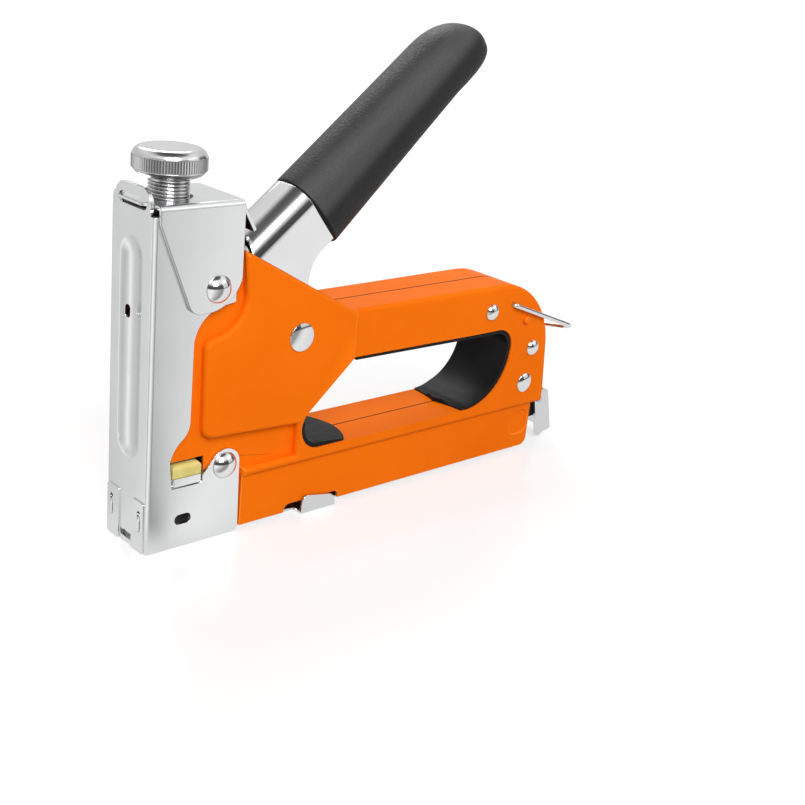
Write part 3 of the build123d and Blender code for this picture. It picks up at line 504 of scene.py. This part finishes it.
def cut_across(shape, places, normal):
    """Cuts every face along planes at these places, so that each part keeps its own shading."""
    for place in places:
        geometry = shape.verts[:] + shape.edges[:] + shape.faces[:]
        bmesh.ops.bisect_plane(shape, geom=geometry, dist=1e-7, plane_co=Vector(normal) * place,
                               plane_no=normal)


def new_piece(name, shape, finish):
    """An object made of the mesh being worked on, with a finish."""
    mesh = bpy.data.meshes.new(name)
    shape.to_mesh(mesh)
    shape.free()
    mesh.materials.append(finish)
    piece = bpy.data.objects.new(name, mesh)
    scene.collection.objects.link(piece)
    return piece


def plain_mesh(piece):
    """Applies a piece's modifiers."""
    graph = bpy.context.evaluated_depsgraph_get()
    mesh = bpy.data.meshes.new_from_object(piece.evaluated_get(graph), depsgraph=graph)
    piece.modifiers.clear()
    old = piece.data
    piece.data = mesh
    bpy.data.meshes.remove(old)


print("copy helpers ready")


# %% Rolled copies
def roll_edges(piece, rolled, painted_edge_light):
    """Bevels the weighted edges, if wanted with a material of their own that paints light or shade on them.
    """
    bevel = piece.modifiers.new("rolled edge", "BEVEL")
    bevel.width = rolled * MM
    bevel.segments = 3
    bevel.limit_method = "WEIGHT"
    bevel.miter_outer = "MITER_ARC"
    bevel.use_clamp_overlap = False
    if painted_edge_light:
        piece.data.materials.append(painted_edge_light)
        bevel.material = 1


def stand_in(name, shape, node, rolled=0.0, painted_edge_light=None, sharp=radians(32)):
    """Puts the mesh in the node's place, with its outward edges rolled and its inward corners crisp."""
    weight = shape.edges.layers.float.new("bevel_weight_edge")
    for edge in shape.edges:
        if len(edge.link_faces) == 2 and edge.calc_face_angle() > sharp:
            edge[weight] = 1.0 if edge.is_convex else 0.0
            edge.smooth = edge.is_convex
    piece = new_piece(name, shape, finish_of[node])
    piece.data.shade_smooth()
    if rolled:
        roll_edges(piece, rolled, painted_edge_light)
    even_out = piece.modifiers.new("flat faces", "WEIGHTED_NORMAL")
    even_out.weight = 100
    even_out.keep_sharp = True
    plain_mesh(piece)
    body = frame["nodes"][node]["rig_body"]
    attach(piece, body)
    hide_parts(node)
    print(piece.name, len(piece.data.polygons), "faces")
    return piece


nose_cuts = [0.4 * MM, 4.5 * MM, 20 * MM, 31 * MM]
shape = solid_copy("nose_plate")
cut_across(shape, nose_cuts, (0, 0, 1))
stand_in("nose_plate_rolled", shape, "nose_plate", 0.12)
rolled_edges = {"magazine_rail": 0.25, "guide_block": 0.3, "bumper": 0.4, "rail_end": 0.4}
for node, width in rolled_edges.items():
    stand_in(node + "_rolled", solid_copy(node), node, width)

# %% [markdown]
# ## Cover, lever and finger guard
# Three pieces also get a small correction of shape, worked into the copy before its edges are rolled: the
# hook of the cover is thinned to let a gap show below it, the back of the lever is lowered a little, and
# the lining of the finger hole runs out thin at its ends, as rubber mouldings do.

# %% Cover and lever
hook_front, hook_low, hook_raised = -0.4 * MM, 101.9 * MM, 102.1 * MM
shape = solid_copy("top_cover")
for vertex in shape.verts:
    if vertex.co.x < hook_front and vertex.co.z < hook_low:
        vertex.co.z = hook_raised
# The cover's rolled edges get the dark grey, a painted shade.
stand_in("top_cover_rolled", shape, "top_cover", 0.15, painted_edge_shade)

side_rise, back_depth, back_drop = 20, 15.3, 0.7 * MM
shape = solid_copy("lever")
for vertex in shape.verts:
    rise = (vertex.co - pivot).dot(across) / MM
    vertex.co -= across * max(0, rise - side_rise) / back_depth * back_drop
stand_in("lever_rolled", shape, "lever", 0.3)

# %% Finger guard
bar_low, hole_low = 49.2 * MM, 21.8 * MM
tongue_from, tongue_run, tongue_past, tongue_thin = 62, 15, 78, 0.8
saddle_from, saddle_run, saddle_left = 124, 8, 0.3
strip_from, strip_run, strip_left = 73, 55, 0.4
shape = solid_copy("finger_guard", radians(0.2))
for vertex in shape.verts:
    x, y, z = vertex.co / MM
    keep = 1.0
    if z < 25 and x < tongue_past:
        keep = 1 - tongue_thin * max(0, (x - tongue_from) / tongue_run)
    elif z < 25 and saddle_from < x < saddle_from + saddle_run:
        keep = saddle_left + (1 - saddle_left) * (x - saddle_from) / saddle_run
    elif z > 45 and x < strip_from + strip_run:
        keep = strip_left + (1 - strip_left) * max(0, (x - strip_from) / strip_run)
    floor = hole_low if z < 25 else bar_low
    vertex.co.z = floor + (vertex.co.z - floor) * keep
stand_in("finger_guard_rolled", shape, "finger_guard", 0.1)

# %% [markdown]
# ## The bail
# The wire loop is bent by hand and never quite true: its far leg hangs a little lower than its near one.
# The copy is turned about its hinge by an angle that grows from the near side to the far one.

# %% Bail
hinge, bail_half, sag = Vector((145.0, 0, 57.7)) * MM, 13.5 * MM, radians(2.5)
shape = solid_copy("bail", radians(0.1))
for vertex in shape.verts:
    arm = vertex.co - hinge
    more = sag * (vertex.co.y + bail_half) / (2 * bail_half)
    vertex.co.x = hinge.x + arm.x * cos(more) + arm.z * sin(more)
    vertex.co.z = hinge.z + arm.z * cos(more) - arm.x * sin(more)
stand_in("bail_wire", shape, "bail")

# %% [markdown]
# ## The painted shells
# The side of the upper bar lies a little deeper than the raised panel in front of it, and the finger hole
# has a soft rim. Both are worked into the copy: two cuts across the bar let its side be pushed in behind
# a crease, and a wide bevel rounds the rim of the hole.

# %% Shells
panel_half, rim_round = 12.4 * MM, 1.1 * MM
crease_x, crease_run, bar_rear, push = 73.2 * MM, 0.8 * MM, 128 * MM, 0.8 * MM
loop_front, loop_rear, rim_angle = 53 * MM, 148 * MM, radians(50)


def on_bar_side(x, y, z):
    """True on the side of the upper bar behind the crease."""
    return crease_x + 1e-6 < x < bar_rear and z > bar_low - 2 * MM and abs(y) > panel_half - 1.25 * MM


def on_hole_rim(x, y, z):
    """True on the outer edge of the finger hole."""
    return abs(y) > panel_half - 0.7 * MM and hole_low - MM < z < bar_low + MM and loop_front < x < loop_rear


for node in ("left_shell", "right_shell"):
    shape = solid_copy(node)
    cut_across(shape, [crease_x, crease_x + crease_run, bar_rear], (1, 0, 0))
    for vertex in shape.verts:
        x, y, z = vertex.co
        if on_bar_side(x, y, z):
            share = min(1, (x - crease_x) / crease_run) * (bar_rear - x) / (bar_rear - crease_x)
            vertex.co.y -= push * share * (1 if y > 0 else -1)
    rim = [edge for edge in shape.edges if len(edge.link_faces) == 2 and edge.calc_face_angle() > rim_angle
           and all(on_hole_rim(*vertex.co) for vertex in edge.verts)]
    bmesh.ops.bevel(shape, geom=rim, offset=rim_round, offset_type="OFFSET", segments=4, profile=0.5,
                    affect="EDGES", clamp_overlap=True)
    # The rolled edges of the shells get the lighter orange, a painted highlight.
    stand_in(node + "_painted", shape, node, 0.3, painted_edge_highlight)

# %% [markdown]
# ## The grip
# A rubber sleeve is an almost round tube with a domed end. It is laid out as rings along the lever: each
# ring is a rounded oval whose top, bottom and width follow the outline of the grip.

# %% Grip
def on_lever(run, side, rise):
    """A point given in millimetres along, beside and above the lever's own line through its pivot."""
    return pivot + (along * run + across * rise + Vector((0, side, 0))) * MM


def bulge(share, rise_power, fall_power):
    """How far a dome has closed at this share of its length: 0 at its start, 1 at its tip."""
    return 1 - (1 - share ** rise_power) ** (1 / fall_power)


grip_from, dome_from, grip_to, tip_rise = 27.4, 90.6, 111.5, 20.6
grip_half, roundness, belly_roundness, ring_points = 10.3, 2.2, 3.3, 72
back_at_mouth, back_slope, back_fall = 35.1, 0.003, 13.9
belly_at_mouth, belly_climb, belly_lift = 10.7, 5.9, 3.6
mouth_run, straight_rings, dome_rings = 1.1, 16, 26
stations = [(grip_from, 0.90), (grip_from + 0.15, 0.95), (grip_from + 0.5, 0.985),
            (grip_from + mouth_run, 1.0)]
straight = dome_from - grip_from - mouth_run
stations += [(grip_from + mouth_run + straight * i / straight_rings, 1.0)
             for i in range(1, straight_rings + 1)]
stations += [(dome_from + (grip_to - dome_from) * sin(pi / 2 * i / dome_rings), 1.0)
             for i in range(1, dome_rings)]
shape = bmesh.new()
rings = []
for run, scale in stations:
    bend = max(0.0, (run - dome_from) / (grip_to - dome_from))
    along_grip = min(1.0, (run - grip_from) / (dome_from - grip_from))
    back_rise = back_at_mouth + back_slope * (run - grip_from) - back_fall * bulge(bend, 2.3, 2.0)
    belly_rise = belly_at_mouth + belly_climb * along_grip + belly_lift * bulge(bend, 3.2, 2.4)
    width = grip_half * scale * (1 - bulge(bend, 3.0, 2.2))
    centre, half_rise = (back_rise + belly_rise) / 2, (back_rise - belly_rise) / 2 * scale
    ring = []
    for k in range(ring_points):
        c, t = cos(2 * pi * k / ring_points), sin(2 * pi * k / ring_points)
        power = 2 / (roundness if t > 0 else belly_roundness)
        side = width * abs(c) ** power * (1 if c > 0 else -1)
        rise = centre + half_rise * abs(t) ** power * (1 if t > 0 else -1)
        ring.append(shape.verts.new(on_lever(run, side, rise)))
    rings.append(ring)
tip = shape.verts.new(on_lever(grip_to, 0, tip_rise))
for ring, after in zip(rings, rings[1:]):
    for k in range(ring_points):
        j = (k + 1) % ring_points
        shape.faces.new((ring[k], ring[j], after[j], after[k]))
for k in range(ring_points):
    shape.faces.new((rings[-1][k], rings[-1][(k + 1) % ring_points], tip))
shape.faces.new(list(reversed(rings[0])))
bmesh.ops.recalc_face_normals(shape, faces=shape.faces)
stand_in("grip_sleeve", shape, "grip")

# %% [markdown]
# ## Knob and screw
# A coarse knob is turned on a lathe, then a knurling wheel presses fine straight ridges into its rim; the
# screw has a rolled thread. The turned shape is a profile spun round the axis. The ridges repeat and the
# thread follows a spiral, so both are grown by geometry nodes with their sizes as inputs.

# %% Geometry tree helper
def new_growth(name, **inputs):
    """A geometry tree with named inputs, and the sockets of those inputs."""
    tree = bpy.data.node_groups.new(name, "GeometryNodeTree")
    for label, kind in inputs.items():
        tree.interface.new_socket(label, in_out="INPUT", socket_type="NodeSocket" + kind)
    tree.interface.new_socket("Mesh", in_out="OUTPUT", socket_type="NodeSocketGeometry")
    return tree, put(tree, "NodeGroupInput").outputs


def finish_growth(tree, geometry, material):
    """Closes the tree: real geometry with its finish."""
    real = put(tree, "GeometryNodeRealizeInstances", {0: geometry}).outputs[0]
    coated = put(tree, "GeometryNodeSetMaterial", {"Geometry": real, "Material": material}).outputs[0]
    put(tree, "NodeGroupOutput", {0: coated})


def grow(name, tree, body, slot, places=(), **sizes):
    """Runs the tree on these places with these sizes and keeps the result as a plain mesh on a body."""
    seed = bpy.data.meshes.new(name)
    seed.from_pydata(places, [], [])
    piece = bpy.data.objects.new(name, seed)
    scene.collection.objects.link(piece)
    growth = piece.modifiers.new("growth", "NODES")
    growth.node_group = tree
    for item in tree.interface.items_tree:
        if item.in_out == "INPUT" and item.name in sizes:
            growth[item.identifier] = sizes[item.name]
    plain_mesh(piece)
    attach(piece, body)
    print(name, len(piece.data.polygons), "faces")
    return piece


print("growth helpers ready")

# %% Knurl and thread trees
knurl, size = new_growth("knurl", Radius="Float", Ridge="Float", Height="Float", Count="Int",
                         Middle="Vector", Finish="Material")
circle = put(knurl, "GeometryNodeMeshCircle", {"Vertices": size["Count"], "Radius": size["Radius"]})
places = circle.outputs[0]
ridge = put(knurl, "GeometryNodeMeshCylinder", {"Vertices": 4, "Radius": size["Ridge"],
                                                "Depth": size["Height"]}, fill_type="NGON").outputs[0]
spot = put(knurl, "GeometryNodeInputPosition").outputs[0]
outward = put(knurl, "FunctionNodeAlignRotationToVector", {"Vector": spot}, axis="X").outputs[0]
ridges = put(knurl, "GeometryNodeInstanceOnPoints", {"Points": places, "Instance": ridge,
                                                     "Rotation": outward}).outputs[0]
raised = put(knurl, "GeometryNodeTransform", {"Geometry": ridges, "Translation": size["Middle"]}).outputs[0]
finish_growth(knurl, raised, size["Finish"])

thread, size = new_growth("thread", Radius="Float", Tooth="Float", Turns="Float", Height="Float",
                          Foot="Vector", Finish="Material")
spiral = put(thread, "GeometryNodeCurveSpiral", {
    "Resolution": 48, "Rotations": size["Turns"], "Start Radius": size["Radius"],
    "End Radius": size["Radius"], "Height": size["Height"]}).outputs[0]
level_spiral = put(thread, "GeometryNodeSetCurveNormal", {"Curve": spiral}, mode="Z_UP").outputs[0]
tooth = put(thread, "GeometryNodeCurvePrimitiveCircle", {"Resolution": 4, "Radius": size["Tooth"]})
swept = put(thread, "GeometryNodeCurveToMesh", {"Curve": level_spiral, "Profile Curve": tooth.outputs[0],
                                                "Fill Caps": True}).outputs[0]
lifted = put(thread, "GeometryNodeTransform", {"Geometry": swept, "Translation": size["Foot"]}).outputs[0]
finish_growth(thread, lifted, size["Finish"])
print("trees", knurl.name, "and", thread.name)


# %% Turned knob and screw
def turned(name, node, axis_x, profile, points=96):
    """Spins a profile of (radius, height) in millimetres round the vertical axis at axis_x."""
    shape = bmesh.new()
    rings = []
    for radius, height in profile:
        if radius:
            rings.append([shape.verts.new(((axis_x + radius * cos(2 * pi * k / points)) * MM,
                                           radius * sin(2 * pi * k / points) * MM, height * MM))
                          for k in range(points)])
        else:
            rings.append([shape.verts.new((axis_x * MM, 0, height * MM))])
    for ring, after in zip(rings, rings[1:]):
        for k in range(points):
            corners = [ring[k % len(ring)], ring[(k + 1) % len(ring)],
                       after[(k + 1) % len(after)], after[k % len(after)]]
            shape.faces.new(dict.fromkeys(corners))
    bmesh.ops.recalc_face_normals(shape, faces=shape.faces)
    return stand_in(name, shape, node)


screw_x, knob_low, knob_high = 11.2, 108.3, 116.3
knurl_low, knurl_high, knurl_r, ridge_size, ridge_count = 110.5, 114.1, 10.15, 0.33, 80
pitch, tooth_size, thread_r, thread_from, thread_to = 1.0, 0.45, 5.5, 96.4, 107.8
underside = [(6.4, knob_low), (7.9, 108.5), (9.0, 109.0), (9.8, 109.7), (10.25, 110.3),
             (10.3, knurl_low), (9.9, knurl_low + 0.1)]
shoulder = [(9.9, knurl_high - 0.1), (10.3, knurl_high), (10.3, 114.3), (10.05, 114.9), (9.6, 115.5),
            (9.0, 116.0), (8.5, 116.2), (8.1, knob_high), (7.4, knob_high)]
knob_profile = [(0, knob_low)] + underside + shoulder + [(0, knob_high - 0.02)]
core_profile = [(0, 93.3), (3.0, 93.3), (3.0, 95.2), (5.0, 95.2), (5.45, 95.8), (5.45, 108.4), (0, 108.4)]
knob_steel = plated("knob_steel", (0.66, 0.66, 0.665), 0.16, 0.24, even)
# Painted shade on the knob: near black on the knurled band, grey on its underside.
painted_shade_band(knob_steel, (knurl_low + 0.05) * MM, (knurl_high - 0.05) * MM, 0.06)
painted_shade_band(knob_steel, 0.0, (knurl_low - 0.3) * MM, 0.4)
knurl_steel = plated("knurl_steel", (0.50, 0.50, 0.505), 0.16, 0.24, even)
piece = turned("knob_turned", "knob", screw_x, knob_profile)
piece.data.materials[0] = knob_steel
turned("screw_core", "power_screw", screw_x, core_profile)
grow("knob_knurl", knurl, "screw", "satin_metal", Radius=knurl_r * MM, Ridge=ridge_size * MM,
     Height=(knurl_high - knurl_low - 0.1) * MM, Count=ridge_count,
     Middle=Vector((screw_x, 0, (knurl_low + knurl_high) / 2)) * MM, Finish=knurl_steel)
grow("screw_thread", thread, "screw", "satin_metal", Radius=thread_r * MM, Tooth=tooth_size * MM,
     Turns=(thread_to - thread_from) / pitch, Height=(thread_to - thread_from) * MM,
     Foot=Vector((screw_x, 0, thread_from)) * MM, Finish=finishes["satin_metal"])

# %% [markdown]
# ## Rivets
# The shells are held by rivets with domed heads on both sides, and the lever turns on a flatter one. They
# are one shape in several sizes, so one tree makes them all: a cone is bent into a dome, a rim and a
# shank are added, the half is turned to both sides, and the rivet is set on each point of a small mesh.

# %% Rivet tree
rivet, size = new_growth("rivet", Places="Geometry", Head="Float", Dome="Float", Rim="Float", Roll="Float",
                         Shank="Float", Inner="Float", Face="Float", Finish="Material")


def number(operation, first, second=0.0):
    """A number worked out in the rivet tree."""
    return maths(rivet, operation, first, second)


def vector(operation, *values):
    """A vector, or a length, worked out in the rivet tree."""
    return vector_maths(rivet, operation, *values)


def upward(height):
    """A vector of this height."""
    return put(rivet, "ShaderNodeCombineXYZ", {"Z": height}).outputs[0]


cone = put(rivet, "GeometryNodeMeshCone", {"Vertices": 64, "Side Segments": 20, "Radius Top": 0.0,
                                           "Radius Bottom": size["Head"], "Depth": size["Dome"]},
           fill_type="NGON").outputs["Mesh"]
spot = put(rivet, "GeometryNodeInputPosition").outputs[0]
flat_spot = vector("MULTIPLY", spot, (1, 1, 0))
turn = number("MULTIPLY", number("DIVIDE", vector("LENGTH", flat_spot), size["Head"]), size["Roll"])
bent = number("MULTIPLY", number("SINE", turn), size["Head"])
new_out = number("DIVIDE", bent, number("SINE", size["Roll"]))
low_end = number("COSINE", size["Roll"])
left = number("SUBTRACT", number("COSINE", turn), low_end)
share = number("DIVIDE", left, number("SUBTRACT", 1.0, low_end))
new_rise = number("ADD", number("MULTIPLY", share, size["Dome"]), size["Rim"])
ring_spot = put(rivet, "ShaderNodeVectorMath", {0: vector("NORMALIZE", flat_spot), "Scale": new_out},
                operation="SCALE").outputs[0]
new_spot = vector("ADD", ring_spot, upward(new_rise))
dome = put(rivet, "GeometryNodeSetPosition", {"Geometry": cone, "Position": new_spot}).outputs[0]

disc = put(rivet, "GeometryNodeMeshCylinder", {"Vertices": 64, "Radius": size["Head"], "Depth": size["Rim"]})
rim = put(rivet, "GeometryNodeTransform", {"Geometry": disc.outputs[0],
                                           "Translation": upward(number("MULTIPLY", size["Rim"], 0.5))})
depth = number("SUBTRACT", size["Face"], size["Inner"])
pin = put(rivet, "GeometryNodeMeshCylinder", {"Vertices": 32, "Radius": size["Shank"], "Depth": depth})
shank = put(rivet, "GeometryNodeTransform", {"Geometry": pin.outputs[0],
                                             "Translation": upward(number("MULTIPLY", depth, -0.5))})
half_rivet = put(rivet, "GeometryNodeJoinGeometry", {0: dome})
for part in (rim, shank):
    rivet.links.new(part.outputs[0], half_rivet.inputs[0])
whole = put(rivet, "GeometryNodeJoinGeometry")
for side in (-1, 1):
    reach = put(rivet, "ShaderNodeCombineXYZ", {"Y": number("MULTIPLY", size["Face"], side)}).outputs[0]
    turned_half = put(rivet, "GeometryNodeTransform", {
        "Geometry": half_rivet.outputs[0], "Translation": reach, "Rotation": (-side * pi / 2, 0, 0)})
    rivet.links.new(turned_half.outputs[0], whole.inputs[0])
rivets = put(rivet, "GeometryNodeInstanceOnPoints", {"Points": size["Places"], "Instance": whole.outputs[0]})
smooth = put(rivet, "GeometryNodeSetShadeSmooth", {"Geometry": rivets.outputs[0]})
finish_growth(rivet, smooth.outputs[0], size["Finish"])
print("tree", rivet.name, len(rivet.nodes), "nodes")

# %% Rivets of each size
rivet_rows = {  # places (x, z), head, dome, rim, roll, shank, inner end, face
    "cover_rivets": ([(20.7, 78.2)], 4.2, 2.3, 0.1, 1.1, 2.0, 8.4, 12.25),
    "nose_rivet": ([(26.5, 22.9)], 4.2, 2.3, 0.1, 1.1, 2.0, 0.0, 11.0),
    "rear_rivets": ([(134.6, 56.3), (157.9, 40.1)], 2.9, 1.4, 0.3, 1.15, 2.0, 0.0, 12.4),
    "tail_rivet": ([(155.9, 27.1)], 3.6, 1.1, 0.3, 1.0, 2.0, 0.0, 12.4),
    "lever_pivot": ([(51.4, 59.7)], 4.5, 0.7, 0.3, 0.8, 3.0, 0.0, 12.4),
}
for node, (places, head, dome_rise, rim_rise, roll, shank_r, inner, face) in rivet_rows.items():
    piece = grow(node + "_domed", rivet, "frame", slot_of[node], [(x * MM, 0, z * MM) for x, z in places],
                 Head=head * MM, Dome=dome_rise * MM, Rim=rim_rise * MM, Roll=roll, Shank=shank_r * MM,
                 Inner=inner * MM, Face=face * MM, Finish=finishes[slot_of[node]])
    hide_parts(node)

# %% [markdown]
# ## Lanced tongues
# The two foot pads each have a narrow window out of which a small tongue is bent. The tongue fills the lower
# half of its window and leans back into it. Behind it a dark plate closes the window: painted shade where
# the inside of the tool would be in shadow.

# %% Foot tongues
window_off, tongue_near, tongue_far = 7.4, -0.3, 0.78
lean = [(-0.74, 6.6), (-0.74, 9.6), (-0.35, 11.2), (0.15, 11.8), (0.15, 6.6)]
shape = bmesh.new()
for side in (-1, 1):
    near, far = [[shape.verts.new(Vector((x, side * window_off + edge, z)) * MM) for x, z in lean]
                 for edge in (tongue_near, tongue_far)]
    shape.faces.new(near)
    shape.faces.new(list(reversed(far)))
    for k in range(len(lean)):
        j = (k + 1) % len(lean)
        shape.faces.new((near[j], near[k], far[k], far[j]))
bmesh.ops.recalc_face_normals(shape, faces=shape.faces)
tongues = new_piece("foot_tongues", shape, finishes["satin_chrome"])
soften = tongues.modifiers.new("rolled edge", "BEVEL")
soften.width, soften.segments = 0.2 * MM, 3
plain_mesh(tongues)
tongues.data.shade_smooth()
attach(tongues, "frame")

# The dark plates behind the windows are painted shade.
plate_size, plate_x, plate_z = (0.08, 1.5, 6.4), 0.14, 9.8
shape = bmesh.new()
for side in (-1, 1):
    plate = bmesh.ops.create_cube(shape, size=MM)["verts"]
    bmesh.ops.scale(shape, vec=plate_size, verts=plate)
    bmesh.ops.translate(shape, vec=Vector((plate_x, side * window_off, plate_z)) * MM, verts=plate)
shadow = new_piece("foot_shadow", shape, finishes["black_plastic"])
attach(shadow, "frame")
print(tongues.name, len(tongues.data.polygons), "faces", shadow.name, len(shadow.data.polygons), "faces")

# %% [markdown]
# ## Springs
# The main spring is pressed at both ends, by the hammer from below and by the seat of the screw from above,
# so its copy is cut in two under the seat: the part below rides on the frame and the part above on the seat.

# %% Spring copies on their bodies
def spring_copy(name, node, body, cut=None, side=1):
    """A copy of a spring, or of its part above (side 1) or below (side -1) a height, riding on a body."""
    shape = bmesh.new()
    shape.from_mesh(frame["nodes"][node].data)
    bmesh.ops.remove_doubles(shape, verts=shape.verts, dist=merge_gap)
    if cut is not None:
        geometry = shape.verts[:] + shape.edges[:] + shape.faces[:]
        sliced = bmesh.ops.bisect_plane(shape, geom=geometry, dist=1e-7, plane_co=(0, 0, cut),
                                        plane_no=(0, 0, side), clear_inner=True)
        rim = [part for part in sliced["geom_cut"] if isinstance(part, bmesh.types.BMEdge)]
        bmesh.ops.holes_fill(shape, edges=rim)
    piece = new_piece(name, shape, finish_of[node])
    piece.data.shade_smooth()
    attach(piece, body)
    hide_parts(node)
    print(piece.name, len(piece.data.polygons), "faces")
    return piece


seat_skirt = 86.0 * MM
lower_coils = spring_copy("main_spring_lower", "main_spring", "frame", seat_skirt, -1)
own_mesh(lower_coils)
upper_coils = spring_copy("main_spring_upper", "main_spring", "seat", seat_skirt, 1)
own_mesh(upper_coils)

pusher_coils = spring_copy("pusher_spring_coils", "pusher_spring", "rail")
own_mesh(pusher_coils)
latch_coils = spring_copy("latch_spring_coils", "latch_spring", "rail")
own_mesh(latch_coils)
